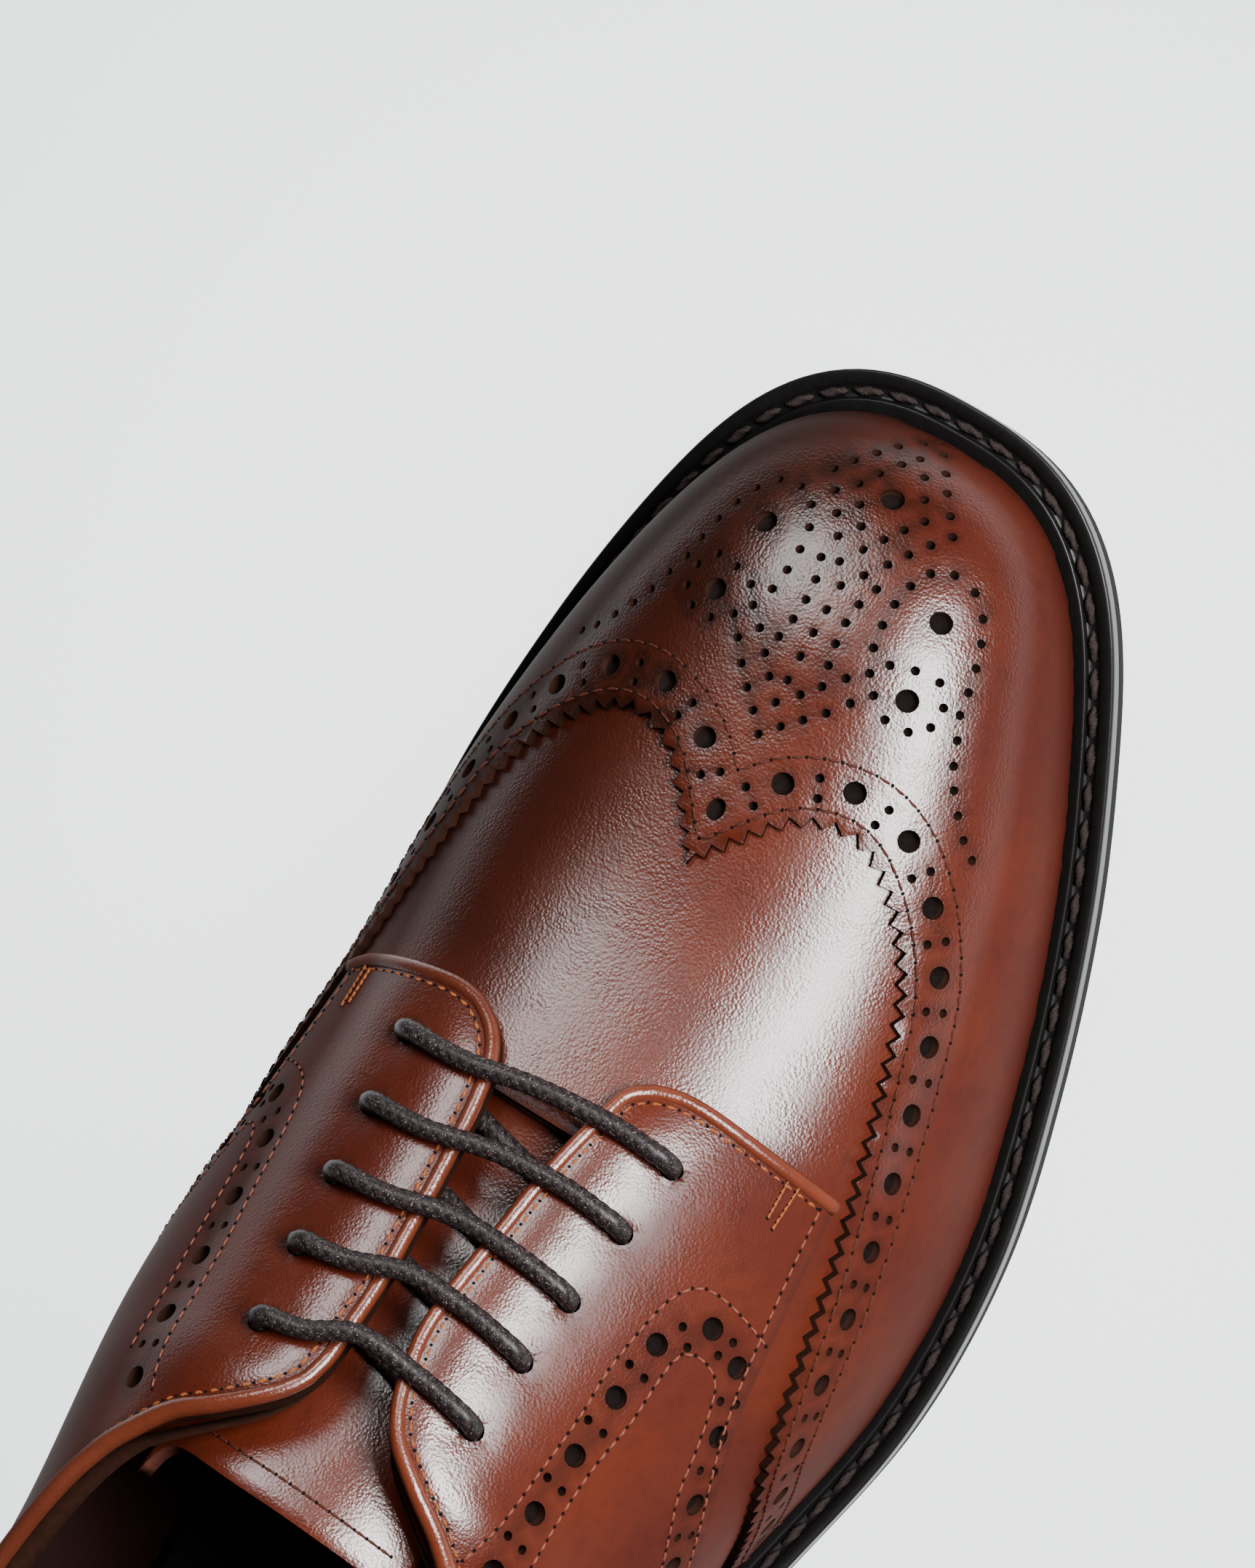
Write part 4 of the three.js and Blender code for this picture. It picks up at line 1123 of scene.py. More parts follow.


# The medallion, charted as station and half width in millimetres
MEDALLION_BIG = [(277.6, 13.4), (267.1, 14.7)]
MEDALLION_CENTRE = [254.0, 258.7, 262.0, 265.4, 268.8, 272.1, 275.6, 280.8]
MEDALLION_TIP = [(293.3, 1.0), (295.7, 1.3)]
MEDALLION = [
    (256.3, 2.1), (258.5, 4.3), (260.8, 6.5), (261.2, 2.4), (263.5, 4.4), (263.4, 8.6), (263.7, 13.4),
    (263.7, 16.7), (265.5, 18.9), (265.7, 10.7), (265.9, 6.6), (266.2, 3.8), (267.9, 8.9), (268.4, 19.1),
    (269.0, 3.25),
    (270.0, 10.6), (270.9, 13.7), (271.0, 17.1), (270.9, 7.7), (271.9, 3.05), (273.9, 7.25), (274.7, 3.3),
    (276.9, 7.2), (277.4, 4.25), (278.1, 1.85), (279.8, 7.7), (280.7, 3.8), (282.3, 9.1), (283.0, 5.5),
    (283.1, 1.75), (285.3, 7.3), (285.3, 3.4), (287.4, 9.1), (287.4, 5.05), (289.4, 7.4), (289.6, 3.5),
    (291.5, 5.4), (291.8, 1.75), (293.3, 3.7), (294.9, 1.6), (283.5, 11.8), (282.8, 15.1), (280.4, 17.6),
    (277.6, 19.1), (274.6, 20.2), (271.5, 20.9), (268.5, 21.4), (265.5, 22.7), (262.4, 23.9), (259.6, 25.5),
    (256.9, 27.6), (254.3, 29.9), (252.4, 32.4),
]


def medallion():
    """The pattern's axis drifts to the inner side towards the tip."""
    pairs = np.array(MEDALLION)
    drift = np.outer(np.clip((pairs[:, 0] - 280) / 16, 0, 1), [0.0, 0.9])
    both = np.vstack([pairs + drift, mirrored(pairs) + drift])
    small = np.vstack([both, [(s, 0.0) for s in MEDALLION_CENTRE], MEDALLION_TIP])
    big = np.vstack([[(287.8, 0.5)], MEDALLION_BIG, mirrored(MEDALLION_BIG)])
    return big, small


needle_hole_shade_dots = []
rows_dark, rows_pale, rows_tan, rows_welt = [Stitches() for _ in range(4)]
PANEL_FINISHES = [calf, cut_edge, backing, pit_shade_black]


def wing_cap():
    outer_edge = pinked(down_to_foot(WING_EDGE))
    end = outer_edge[-1]
    end[1] = -skin.foot(end[0], -1)
    foot_outer = foot_line(end[0], LENGTH, -1, 0.0, 90)
    inner_edge = mirrored(outer_edge)
    inner_edge[-1, 1] = skin.foot(inner_edge[-1, 0], 1)
    foot_inner = foot_line(inner_edge[-1, 0], LENGTH, 1, 0.0, 90)
    room = skin.foot(inner_edge[:, 0], 1) - inner_edge[:, 1]
    inner_edge = inner_edge[room > -0.1]
    outline = np.vstack([outer_edge, foot_outer[1:], foot_inner[::-1], inner_edge[::-1][1:-1]])
    big, small = wing_holes()
    toe_big, toe_small = medallion()
    big, small = np.vstack([big, toe_big]), np.vstack([small, toe_small])
    holes = Holes(np.vstack([big, small]), [BIG] * len(big) + [SMALL] * len(small))
    made = cut_panel(outline, holes, PANEL_STEP, FACE, PANEL_UNDER)
    made.build("wing_cap_leather", PANEL_FINISHES, "upper_leather", ["wing_cap"])
    for side in (-1, 1):
        for distance in (INNER_ROW, OUTER_ROW):
            rows_dark.along(on_side(wing_row(distance), side), 2.3, FACE + 0.02, 2.3 * 0.84)


BAND_OUTER = {
    "out": [(147.3, -25.7), (154, -26.9), (161.3, -27), (169.1, -26.8), (175.2, -26.2), (182.1, -26.8),
            (186.4, -27.8), (188.9, -29.8), (189.3, -32.4), (188.5, -36.0), (187.3, -39.4), (185.7, -43.3)],
    "in": [(148, -34.1), (156.2, -33.4), (163.6, -32.8), (170.7, -33.1), (176.5, -32.7), (180, -32.9),
           (181.3, -34.1), (181.1, -36.7), (179.3, -39.8), (176.0, -41.6), (169.8, -44.3), (165.3, -46.2),
           (161.2, -49.0), (154.0, -55.2)],
    "holes": [(147.6, -29.9), (156, -29.9), (164.3, -29.6), (172.7, -29.3), (180.6, -29.7), (185.2, -35.0),
              (181.9, -41.4), (172.9, -45.8), (163.6, -51.0)],
}
BAND_INNER = {
    "out": [(145.1, 20), (147.6, 21.3), (152, 22.9), (158.2, 24.4), (164, 25.9), (170.2, 27.9), (175.1, 29.2),
            (179.7, 30.5), (183.3, 32.2), (184.6, 34.4), (184.8, 37.5), (184.4, 40.4), (183.6, 43.9)],
    "in": [(146.6, 29.2), (152.3, 30.6), (159.3, 32.6), (166, 34.4), (172.8, 36.2), (175, 37.6),
           (175.4, 39.8), (174.4, 42.0), (169.8, 44.4), (165.3, 46.4), (161.2, 49.0), (154.0, 55.2)],
    "holes": [(144.6, 24.6), (152.5, 26.7), (160.2, 28.9), (168, 31.1), (175.7, 33.2), (180.3, 38.6),
              (177.6, 43.9), (170.4, 46.9), (163.2, 51.3)],
}


def band_row(line, side, distance):
    """A band line from the facing on, going on beside the seam down to the sole."""
    below = on_side(down_to_foot(beside(down_to_foot(SEAM), -distance)), side)
    top = np.asarray(line, float)
    rest = below[np.abs(below[:, 1]) > abs(top[-1, 1]) + 7]
    return curve(np.vstack([top, rest[::10], rest[-1:]]), 6)


def straight_down(place, side, count):
    """From a place down to the sole at the same station."""
    s, g = place
    return np.stack([np.full(count, s), side * np.linspace(abs(g), skin.foot(s, side), count)], -1)


def quarter(side):
    """One quarter's leather with its holes and stitches; returns its upper edge."""
    seam = on_side(quarter_seam(side), side)
    top = on_side(top_edge(side), side)
    back = straight_down(top[-1], side, 40)
    foot = foot_line(top[-1, 0], seam[-1, 0], side, 0.0, 110)
    edge = join(on_side(curve(FRONTS[side]), side), top)
    fine = spaced(edge, 1.2)
    outline = join(spaced(seam[::-1], 1.2), fine, back, foot[:-1])
    band = BAND_OUTER if side < 0 else BAND_INNER
    line = band_row(band["holes"], side, HOLE_ROW)
    upper_part = np.array(band["holes"])
    run = lengths(line)
    start = run[np.argmin(np.hypot(*(line - upper_part[-1]).T))]
    rest = picked(line, run, np.arange(start + BIG_PITCH, run[-1] - 2, BIG_PITCH))
    big = np.vstack([upper_part, rest])
    small = hole_pairs(big)
    eyelets = on_side(EYELETS[side], side)
    radii = [BIG] * len(big) + [SMALL] * len(small) + [EYELET_RADIUS] * len(eyelets)
    holes = Holes(np.vstack([big, small, eyelets]), radii, len(eyelets))

    def pucker(places):
        lift = puff(places)
        for s, g in eyelets:
            d = np.hypot(places[:, 0] - s, places[:, 1] - g)
            ripple = 1 + 0.35 * np.cos(9 * np.arctan2(places[:, 1] - g, places[:, 0] - s))
            lift -= 0.45 * np.exp(-((d / 4.2) ** 2)) * ripple
        return lift

    made = cut_panel(outline, holes, PANEL_STEP, FACE, PANEL_UNDER, lift=pucker)
    name = "quarter_outer" if side < 0 else "quarter_inner"
    made.build(name + "_leather", PANEL_FINISHES, "upper_leather", [name])
    seam_row = on_side(down_to_foot(beside(quarter_seam(side), -2.2)), side)
    for line in (curve(band["out"], 8), band_row(band["in"], side, OUTER_ROW), seam_row):
        rows_pale.along(line, 2.0, FACE + 0.02, 1.4, True)
    rows_tan.along(beside(fine, -2.35 * side)[2:], 2.0, FACE - 0.04, 1.35, True)
    for start, end in TACKS[side]:
        rows_tan.along(on_side([start, end], side), 0.9, FACE + 0.1, 1.5, True)
    return fine


BEAD_IN, BEAD_SUNK, BEAD_SIDES, BEAD_FLAT = 0.85, 0.35, 10, 0.95
BEAD_FRONT, BEAD_BACK = 1.1, 1.4  # the bead's radius at the facings and round the collar


def bead_piece(name, path, radius, upward, looks):
    """looks holds the leather's values at each point of the path."""
    values = {k: np.concatenate([np.repeat(v, BEAD_SIDES), v[:1], v[-1:]]) for k, v in looks.items()}
    made = Mesh()
    made.add_tube(path, radius, upward, BEAD_SIDES, {**values, "rim": 0.0}, BEAD_FLAT)
    made.build(name, [bead_leather], "upper_leather")


def bead(side, edge):
    """The rolled edge of the quarter, along its front, the eyelets and the collar."""
    line = beside(edge, -BEAD_IN * side)
    path = skin.at(line, FACE - BEAD_SUNK + puff(line))
    radius = BEAD_FRONT + (BEAD_BACK - BEAD_FRONT) * np.clip((157 - line[:, 0]) / 12, 0, 1)
    name = "bead_outer" if side < 0 else "bead_inner"
    bead_piece(name, path, radius, skin.normals(line), burnish_and_side_shade(line))


def across(ends, outward, steps):
    """Arcs over the heel back between pairs of points on both sides, bulging as their surface leans."""
    first, last = ends
    half = (last - first)[:, None] / 2
    lean = np.arcsin(np.clip(np.abs(outward[:, 1]), 0, 0.9))
    sag = np.linalg.norm(half[:, 0], axis=1) * np.tan(lean / 2)
    t = np.linspace(-1, 1, steps)[None, :, None]
    arcs = (first + last)[:, None] / 2 + half * t
    arcs[..., 0] -= sag[:, None] * (1 - t[..., 0] ** 2)
    return arcs


def heel_back(edges):
    """The quarters' leather closed across the heel back, and the bead on top of it."""
    rows, steps, wall = 26, 9, 1.0
    ends, tucked, looks = [], [], []
    for side in (-1, 1):
        line = straight_down(edges[side][-1], side, rows)
        ends.append(skin.at(line, FACE))
        tucked.append(skin.at(line + [1.6, 0], FACE - 0.7))
        looks.append(burnish_and_side_shade(line))
    outward = skin.normals(line)
    arcs = across(ends, outward, steps)
    outer = np.concatenate([tucked[0][:, None], arcs, tucked[1][:, None]], 1)
    inner = outer + [wall, 0, 0]
    n = outer.shape[1]
    ring = np.concatenate([outer, inner[:, ::-1]], 1)
    faces = grid_faces(rows, 2 * n, False, True).tolist()
    lid = [(i, i + 1, 2 * n - 2 - i, 2 * n - 1 - i) for i in range(n - 1)]
    faces += lid + [tuple(2 * n * (rows - 1) + i for i in face[::-1]) for face in lid]
    share = np.clip((np.arange(n) - 1) / (steps - 1), 0, 1)
    values = {}
    for key in looks[0]:
        rows_of = looks[0][key][:, None] * (1 - share) + looks[1][key][:, None] * share
        values[key] = np.concatenate([rows_of, rows_of[:, ::-1]], 1).ravel()
    points = ring.reshape(-1, 3)
    corners = points[np.array(faces)]
    volume = (corners[:, 0] * np.cross(corners[:, 1], corners[:, 2])).sum()
    volume += (corners[:, 0] * np.cross(corners[:, 2], corners[:, 3])).sum()
    if volume < 0:
        faces = [face[::-1] for face in faces]
    made = Mesh()
    made.add(points, faces, 0, **values, rim=0.0)
    made.build("heel_back_leather", [calf], "upper_leather")
    tops = [skin.at(beside(edges[side], -BEAD_IN * side)[-1:], FACE - BEAD_SUNK) for side in (-1, 1)]
    path = across(tops, outward[:1], steps)[0]
    upward = np.repeat(outward[:1] * [1, 0, 1], steps, 0)
    at_top = {key: np.repeat(v[:1], steps) for key, v in looks[0].items()}
    bead_piece("bead_back", path, np.full(steps, BEAD_BACK), upward, at_top)


def vamp_lining():
    """The vamp and the lining as one wall, from the collar and throat down to the feather line."""
    def opening(side):
        line = top_edge(side)
        start = line[:, 0] < COLLAR_JOINS[side] + 2
        corner = np.array(EDGES[side], float)[:-1] + [-1.2, -1.2]
        return on_side(spaced(line[start][::-1], count=70), side), on_side(corner[::-1], side)

    outer, inner = opening(-1), opening(1)
    front = outer[1][-1], inner[1][-1]
    throat_at = front[0][0] - 0.03 * LENGTH
    g = np.linspace(front[0][1], front[1][1], 61)
    throat = np.stack([np.full(61, throat_at), g], -1)

    def facing(part, end):
        collar, line = part
        line = line[line[:, 0] < throat_at - WALL]
        return spaced(np.vstack([collar[-1:], line, [end]]), count=34)

    first = join(outer[0], facing(outer, throat[0]))
    second = join(inner[0], facing(inner, throat[-1]))
    edge = join(first, throat, second[::-1])
    waist, ball = 0.56 * LENGTH, 0.8 * LENGTH

    def foot(side):
        back = spaced(foot_line(0.15, waist, side, 0.6, 120), count=70)
        return join(back, spaced(foot_line(waist, ball, side, 0.6, 60), count=34))

    toe = np.vstack([foot_line(ball, LENGTH, -1, 0.6, 90), foot_line(ball, LENGTH, 1, 0.6, 90)[::-1][1:]])
    below = join(foot(-1), spaced(toe, count=60), foot(1)[::-1])
    down = 44
    k = 1 - (1 - np.linspace(0, 1, down + 1)) ** 1.5
    places = edge[None] + (below - edge)[None] * k[:, None, None]
    columns = len(edge)
    flat = places.reshape(-1, 2)
    n = len(flat)
    over = skin.at(flat, np.full(n, VAMP_FACE))
    under = skin.at(flat, np.full(n, -WALL))
    made = Mesh()
    faces = grid_faces(down + 1, columns, False, True)
    values = {key: np.tile(v, 2) for key, v in burnish_and_side_shade(flat).items()}
    base = made.add(np.vstack([over, under]), faces, 0, **values, rim=0.0)
    ring = np.arange(columns)
    after = (ring + 1) % columns
    low = down * columns
    rims = np.vstack([
        np.stack([after, ring, ring + n, after + n], -1),
        np.stack([low + ring, low + after, low + after + n, low + ring + n], -1),
    ])
    made.face(faces[:, ::-1] + n, 1, base)
    made.face(rims, 2, base)
    made.build("vamp_lining", [calf, lining, cut_edge], "upper_leather", ["upper"])


TONGUE_ROOT, TONGUE_TIP = 0.72 * LENGTH, 0.484 * LENGTH
TONGUE_OUT = -(WALL + BEDDING)


def tongue_sink(places):
    return 3.0 * np.clip((TONGUE_ROOT - 0.03 * LENGTH - places[:, 0]) / (0.05 * LENGTH), 0, 1)


def tongue():
    """A tapering tongue with a raw, rounded tip and a row of stitches across it."""
    half_root, half_tip = 0.2 * BALL_WIDTH, 0.29 * BALL_WIDTH
    rows, columns = 81, 61
    v = np.linspace(-1, 1, columns)
    tip = TONGUE_TIP + 0.8 - 3.0 * (v - 0.06) ** 2 - 6.0 * np.abs(v) ** 9
    k = np.linspace(0, 1, rows)[:, None]
    s = TONGUE_ROOT + (tip[None] - TONGUE_ROOT) * k
    half = half_root + (half_tip - half_root) * k
    places = np.stack([s, v[None] * half], -1).reshape(-1, 2)
    n = len(places)
    sink = tongue_sink(places)
    edge = np.zeros((rows, columns))
    edge[-1], edge[:, 0], edge[:, -1] = 0.3, 0.3, 0.3
    over = skin.at(places, TONGUE_OUT - sink - edge.ravel())
    under = skin.at(places, TONGUE_OUT - 2.2 - sink)
    faces = grid_faces(rows, columns)[:, ::-1]
    made = Mesh()
    values = {key: np.tile(x, 2) for key, x in burnish_and_side_shade(places).items()}
    values["low"] = values["low"] * 0
    base = made.add(np.vstack([over, under]), faces[:, ::-1], 0, **values, rim=0.0)
    rim = open_edges(faces)
    walls = np.stack([rim[:, 0], rim[:, 1], rim[:, 1] + n, rim[:, 0] + n], -1)
    made.face(faces + n, 1, base)
    made.face(walls, 2, base)
    made.sharp += [(base + a, base + b) for a, b in rim.tolist()]
    made.build("tongue_leather", [calf, lining, raw_edge], "upper_leather", ["tongue"])
    u = np.linspace(-0.8, 0.8, 40)
    row = np.stack([TONGUE_TIP + 4.2 - 3.0 * (u - 0.06) ** 2, u * half_tip * 0.97], -1)
    rows_dark.along(row, 2.3, TONGUE_OUT - 3.0 + 0.03, 1.9)


LACE_RADIUS = 1.4
LACE_SIDES = 20
BRAID_PITCH, BRAID_STRANDS = 1.7, 5
BAR_HEIGHT = BEDDING + OVERLAY + CLEARANCE + LACE_RADIUS


def lace():
    """Five bars over the facings and, under them, the runs from row to row."""
    made = Mesh()
    rise = [(1.0, -0.16), (1.0, 0.5), (0.97, 0.85), (0.86, 1.08), (0.5, 1.0)]

    def cord(route):
        fine = curve(route, 24)
        run = travelled(fine)
        at = np.arange(0, run[-1], 0.28)
        path = picked(fine, run, at)
        around = np.arange(LACE_SIDES) / LACE_SIDES
        u, v = np.meshgrid(at / BRAID_PITCH, around * BRAID_STRANDS, indexing="ij")
        knot = np.abs(np.sin(math.pi * (u + v))) * np.abs(np.sin(math.pi * (u - v)))
        knot = knot**0.6
        values = {"knot": np.concatenate([knot.ravel(), [0.5, 0.5]])}
        upward = np.broadcast_to([0.2, 0.0, 1.0], path.shape)
        made.add_tube(path, LACE_RADIUS * (0.92 + 0.09 * knot), upward, LACE_SIDES, values)

    def lifted(s, g, out):
        place = np.array([(s, g)])
        return skin.at(place, out + puff(place))[0]

    for row, (s, g) in enumerate(EYELETS[-1]):
        s1, g1 = EYELETS[1][row]
        bow = 1.2 + 0.5 * row
        half = [lifted(s + bow * (1 - r), r * g, o * BAR_HEIGHT) for r, o in rise]
        other = [lifted(s1 + bow * (1 - r), -r * g1, o * BAR_HEIGHT) for r, o in rise]
        middle = lifted((s + s1) / 2 + bow, 0.0, BAR_HEIGHT * 1.06 + PUFF * 0.8)
        cord([*half, middle, *other[::-1]])
        if row < 4:
            s2, g2 = EYELETS[-1][row + 1]
            route = []
            for t in (0.0, 0.12, 0.32, 0.5, 0.68, 0.88, 1.0):
                place = np.array([(s1 + (s2 - s1) * t, -g1 + (g2 + g1) * t)])
                depth = TONGUE_OUT - tongue_sink(place)[0] + 1.5
                depth = -1.2 if t in (0.0, 1.0) else depth
                route.append(skin.at(place, np.array([depth]))[0])
            cord(route)
    bars = [f"lace_bar_{i + 1}" for i in range(5)]
    made.build("lace_cord", [braid], "lace", bars)


# The bottom

def plan_side(side):
    """The feather line of one side in plan, in even steps."""
    places = foot_line(0.0, LENGTH, side, 0.0, 240)
    points = skin.at(places)
    points[-1] = [LENGTH, section("swing", NEAR_TIP) * BALL_WIDTH, 0]
    run = travelled(points[:, :2])
    return picked(points[:, :2], run, np.linspace(0, run[-1], 221))


PLANS = {-1: plan_side(-1), 1: plan_side(1)}


def outline(grow, until=None):
    """The bottom's outline grown past the feather line: round the outer side to the toe and back."""
    parts = []
    for side in (-1, 1):
        p = PLANS[side]
        d = np.vstack([p[1:2] - p[:1], p[2:] - p[:-2], p[-1:] - p[-2:-1]])
        normal = np.stack([-d[:, 1] * side, d[:, 0] * side], -1)
        normal /= np.linalg.norm(normal, axis=1, keepdims=True)
        normal[0], normal[-1] = [-1, 0], [1, 0]
        g = p + normal * np.asarray(grow(p[:, 0])).reshape(-1, 1)
        if until is not None:
            i = np.argmax(g[:, 0] >= until)
            t = (until - g[i - 1, 0]) / (g[i, 0] - g[i - 1, 0])
            g = np.vstack([g[:i], g[i - 1] + t * (g[i] - g[i - 1])])
            run = travelled(g)
            g = picked(g, run, np.linspace(0, run[-1], 91))
        parts.append(g)
    back = parts[1][1:] if until is not None else parts[1][1:-1]
    return np.vstack([parts[0], back[::-1]])


def welt_reach(x):
    waist = ease01((x - HEEL_BREAST) / (SEAT_END - HEEL_BREAST))
    toe = np.clip((x - (LENGTH - 2 * CREST_REACH)) / (2 * CREST_REACH), 0, 1) ** 2
    return SEAT_WIDTH + (WELT_WIDTH - SEAT_WIDTH) * waist + TOE_EXTRA * toe


def tread_height(x):
    return np.maximum(feather_height(x) - EDGE - 0.3, 0)


def level(value):
    """The same value everywhere along the shoe."""
    return lambda x: value + 0 * x


def above_feather(up):
    return lambda x: feather_height(x) + up


def rings(levels, until=None):
    loops = []
    for grow, height in levels:
        loop = outline(grow, until)
        loops.append(np.column_stack([loop, np.broadcast_to(height(loop[:, 0]), (len(loop),))]))
    return loops


def stacked(levels, until=None):
    """Outlines one above the other, closed at both ends by strips across."""
    loops = rings(levels, until)
    count = len(loops[0])
    faces = grid_faces(len(loops), count, False, True)
    top, bottom = [], []
    for a in range(count // 2):
        quad = [a, a + 1, (count - a - 1) % count, (count - a) % count]
        quad = [q for i, q in enumerate(quad) if q != quad[i - 1]]
        if len(set(quad)) < 3:
            continue
        top.append(quad)
        bottom.append([(len(loops) - 1) * count + q for q in quad[::-1]])
    return np.vstack(loops), faces, top, bottom


def bottom_piece(name, levels, finishes, slot, replaces, until=None, sides=0, ends=0):
    """A piece from outlines one above the other; sides and ends say which finish each has."""
    points, faces, top, bottom = stacked(levels, until)
    made = Mesh()
    made.add(points, faces, sides)
    made.face(top + bottom, ends)
    count = len(points) // len(levels)
    for ring in (0, len(levels) - 1):
        made.sharp += [(ring * count + i, ring * count + (i + 1) % count) for i in range(count)]
    return made.build(name, finishes, slot, replaces)


WELT_PITCH = 5.1


def welt():
    """A ring whose section has a rand, a channel for the stitches, a rim and a bevelled edge."""
    def at(share, past=0.0):
        return lambda x: welt_reach(x) * share + past

    profile = [
        (level(-8.0), 0.0), (at(0.0, 0.8), 0.0), (at(0.0, 1.4), 0.55), (at(0.42), 0.55), (at(0.46), 0.62),
        (at(0.49), 0.45), (at(0.51), -0.1), (at(0.535), -0.35), (at(0.71), -0.35), (at(0.74), -0.1),
        (at(0.765), 0.12), (at(0.95), 0.08), (at(0.985), -0.05), (at(1.0), -0.3), (at(1.0), -1.4),
        (at(0.985), -1.7), (at(0.99), -WELT), (level(-8.0), -WELT),
    ]
    loops = rings([(grow, above_feather(up)) for grow, up in profile])
    made = Mesh()
    made.add(np.vstack(loops), grid_faces(len(loops), len(loops[0]), True, True)[:, ::-1], 0)
    made.build("welt_ring", [welt_black], "welt_leather", ["welt"])
    line = outline(at(0.625))
    xy = line[line[:, 0] > HEEL_BREAST * 0.6]
    run = travelled(xy)
    places = np.arange(WELT_PITCH / 2, run[-1], WELT_PITCH)
    mid = picked(xy, run, places)
    ahead = picked(xy, run, places + 1) - picked(xy, run, places - 1)
    z = feather_height(mid[:, 0])
    slope = (feather_height(mid[:, 0] + 1) - z) * ahead[:, 0] / np.hypot(*ahead.T)
    heading = np.column_stack([ahead / np.hypot(*ahead.T)[:, None], slope])
    upward = np.cross(heading, np.cross([0.0, 0.0, 1.0], heading))
    rows_welt.raw(np.column_stack([mid, z - 0.05]), upward, heading, 4.3)


SOLE_IN = 0.45  # how far the sole's edge stands back from the welt's
TOP_PIECE = 6.0
LIFTS, LIFT_DENT = 3, 0.14
SOCK_IN = WALL + BEDDING + 2 * CLEARANCE


def bottom():
    """The outsole, the heel's lifts, the top piece and the sock."""
    def sole_edge(inward):
        return lambda x: welt_reach(x) - SOLE_IN - inward

    def tapered(share, inward=0.0):
        return lambda x: welt_reach(x) - SOLE_IN - 1.2 * share - inward

    levels = [
        (sole_edge(0.15), above_feather(-WELT - CLEARANCE * 0.3)),
        (sole_edge(0.0), above_feather(-WELT - CLEARANCE - 0.25)),
        (sole_edge(0.0), lambda x: tread_height(x) + 0.7),
        (sole_edge(0.7), tread_height),
    ]
    bottom_piece("outsole_edge", levels, [rubber, welt_side], "sole_rubber", ["outsole"], sides=1)

    def lift_height(share):
        low = TOP_PIECE + CLEARANCE
        return lambda x: (tread_height(x) - CLEARANCE) * (1 - share) + low * share

    levels = []
    for i in range(LIFTS):
        for share, dent in ((i + 0.012, LIFT_DENT), (i + 0.09, 0.0), (i + 0.91, 0.0), (i + 0.988, LIFT_DENT)):
            levels.append((tapered(share / LIFTS, dent), lift_height(share / LIFTS)))
    bottom_piece("heel_lifts", levels, [heel_black], "heel_leather", ["heel_stack"], until=HEEL_BREAST)
    levels = [
        (tapered(1.0, 0.2), level(TOP_PIECE)),
        (tapered(1.0), level(TOP_PIECE - 0.2)),
        (tapered(1.0), level(0.6)),
        (tapered(1.0, 0.6), level(0.0)),
    ]
    bottom_piece("heel_top_piece", levels, [rubber], "sole_rubber", ["top_piece"], until=HEEL_BREAST)
    levels = [
        (level(-SOCK_IN - 0.8), above_feather(3.3)),
        (level(-SOCK_IN), above_feather(2.9)),
        (level(-SOCK_IN), above_feather(0.3)),
        (level(-8.6), above_feather(0.3)),
        (level(-8.6), above_feather(-WELT)),
    ]
    bottom_piece("sock_lining", levels, [sock], "lining_leather", ["insole"])


vamp_lining()
wing_cap()
quarter_edges = {side: quarter(side) for side in (-1, 1)}
for side, edge in quarter_edges.items():
    bead(side, edge)
heel_back(quarter_edges)
tongue()
lace()
welt()
bottom()
rows_dark.build("stitches_dark", dark_thread, thread(2.0, 0.45, 0.25), "upper_leather")
rows_pale.build("stitches_pale", pale_thread, thread(1.6, 0.42, 0.25), "upper_leather")
rows_tan.build("stitches_tan", tan_thread, thread(1.7, 0.5, 0.28), "upper_leather")
rows_welt.build("stitches_welt", welt_thread, thread(4.3, 1.45, 0.5, 6.0), "welt_leather")
# Dark dots of painted shade where the needles went through.
pricks, upward = [np.concatenate(part) for part in zip(*needle_hole_shade_dots)]
tree = needle_shade_tree("needle_shade_tree", pit_shade_black)
grown("needle_hole_shade_dots", pricks, upward, upward, upward, tree, {"Radius": 0.27 * MM})


# Stage, lights and camera

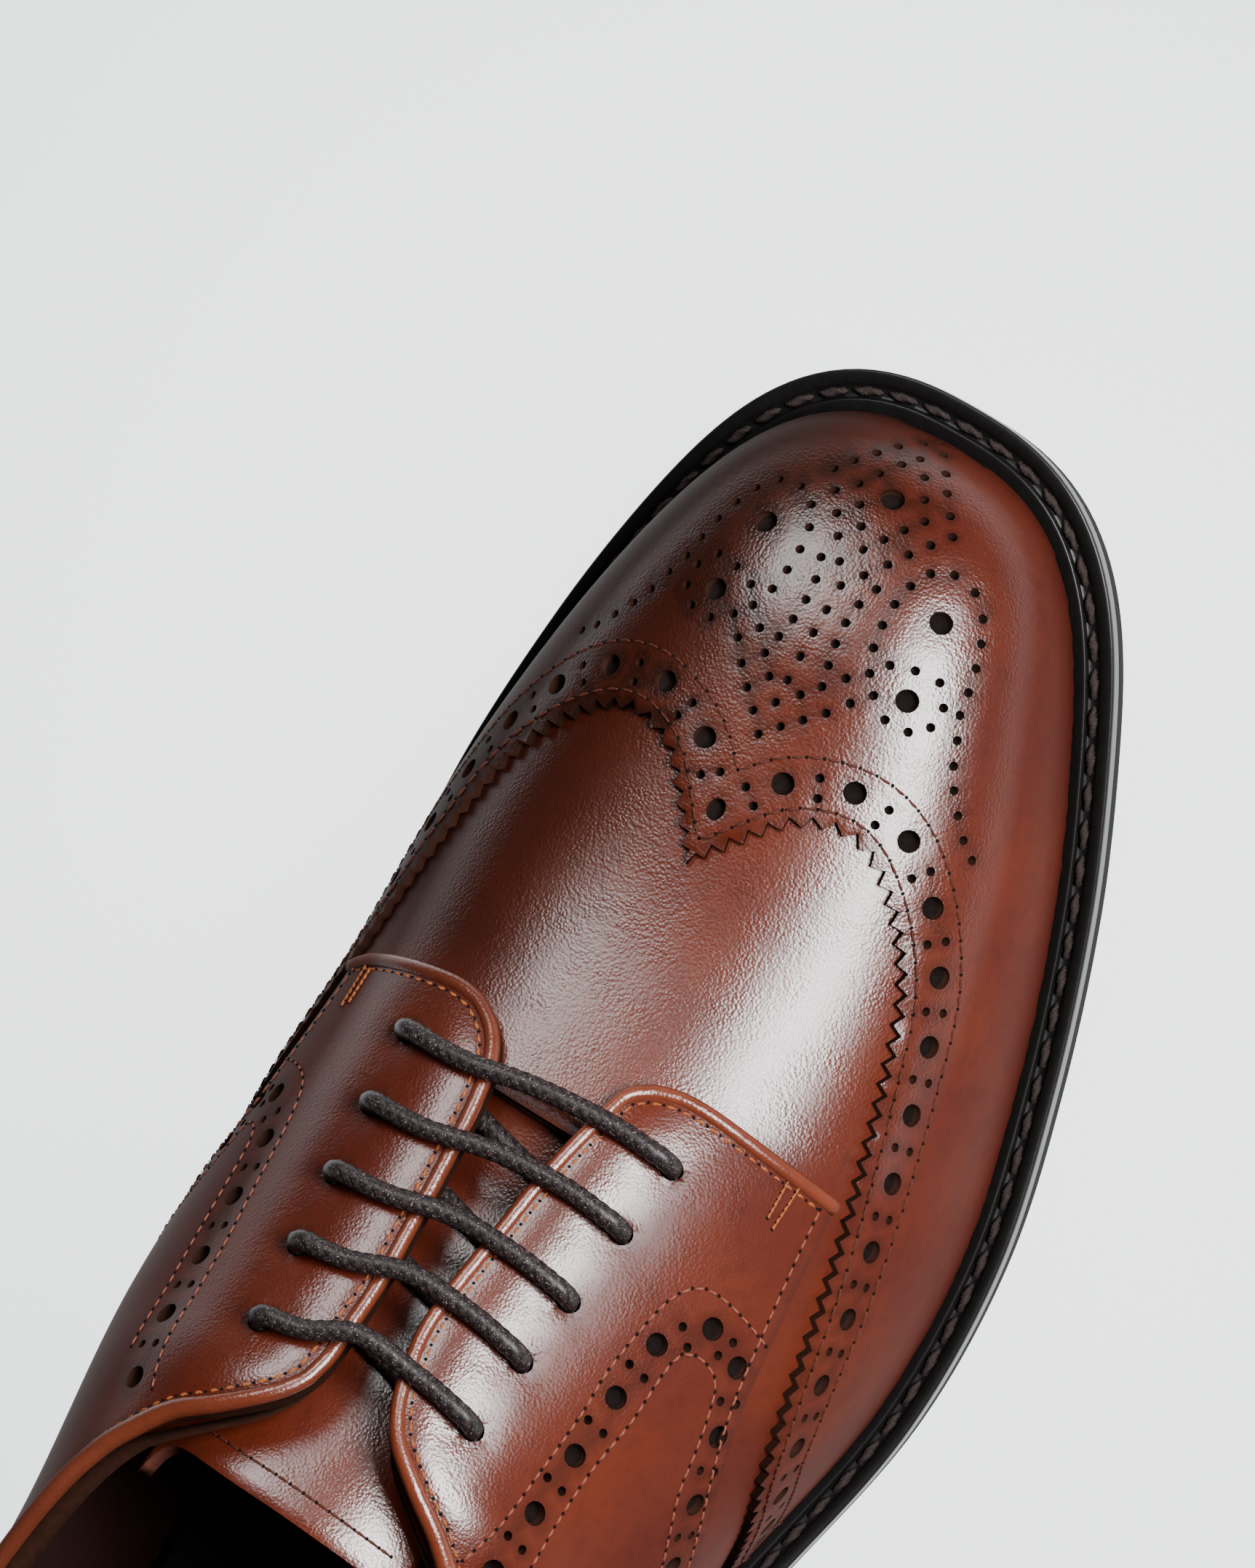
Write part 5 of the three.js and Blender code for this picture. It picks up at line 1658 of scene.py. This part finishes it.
def floor():
    def paint(net, where):
        parts = net("ShaderNodeSeparateXYZ", None, {0: where}).outputs
        x, y = Term(net, parts["X"]), Term(net, parts["Y"])
        # Painted light: the floor glows rather than being lit, brightest round the shoe and fading outward,
        # which also washes out the shoe's cast shadow.
        away = ((x - 0.09) ** 2.0 + (y * 0.9) ** 2.0) ** 0.5
        glow = net.ease(away, 0.04, 0.3)
        return {
            "Base Color": colour("424445"),
            "Roughness": 0.95,
            "Specular IOR Level": 0.1,
            "Emission Color": net.blend(glow, colour("fafdff"), colour("c3c9cd")),
            "Emission Strength": 2.7,
        }

    made = material("floor_painted_glow", paint)
    mesh = bpy.data.meshes.new("floor")
    size = 4.0
    corners = [(x * size, y * size, -0.0005) for x, y in ((-1, -1), (1, -1), (1, 1), (-1, 1))]
    mesh.from_pydata(corners, [], [(0, 1, 2, 3)])
    mesh.materials.append(made)
    thing = bpy.data.objects.new("floor", mesh)
    bpy.context.scene.collection.objects.link(thing)


def softbox(name, where, look, size, power):
    data = bpy.data.lights.new(name, "AREA")
    data.shape = "RECTANGLE"
    data.size, data.size_y = size
    data.energy = power
    thing = bpy.data.objects.new(name, data)
    bpy.context.scene.collection.objects.link(thing)
    thing.location = where
    thing.rotation_mode = "QUATERNION"
    thing.rotation_quaternion = (Vector(look) - Vector(where)).to_track_quat("-Z", "Y")


def world(strength):
    made = bpy.data.worlds.new("studio")
    made.use_nodes = True
    back = made.node_tree.nodes["Background"]
    back.inputs["Color"].default_value = colour("e4e7e8")
    back.inputs["Strength"].default_value = strength
    bpy.context.scene.world = made


def camera():
    data = bpy.data.cameras.new("camera")
    data.sensor_width = 36.0
    data.lens = 144.03
    thing = bpy.data.objects.new("camera", data)
    bpy.context.scene.collection.objects.link(thing)
    right = Vector((0.47642655, -0.83034312, -0.28904678))
    up = Vector((0.86675405, 0.49871957, -0.00402608))
    forward = Vector((-0.14749631, 0.24861434, -0.95730651))
    turn = Matrix((right, up, -forward)).transposed()
    place = (Vector((362.32620558, -191.1076476, 845.65820428)) + Vector(SHIFT)) * MM
    thing.matrix_world = Matrix.Translation(place) @ turn.to_4x4()
    bpy.context.scene.camera = thing


floor()
world(0.05)
MIDDLE = (0.04, 0.0, 0.05)


def from_shoe(azimuth, height, distance=1.0):
    a, e = math.radians(azimuth), math.radians(height)
    ray = Vector((math.cos(a) * math.cos(e), math.sin(a) * math.cos(e), math.sin(e)))
    return Vector(MIDDLE) + ray * distance


softbox("key", from_shoe(-49, 47), MIDDLE, (0.6, 0.36), 60.0)
softbox("second", from_shoe(34, 45), MIDDLE, (0.34, 0.4), 10.0)
camera()
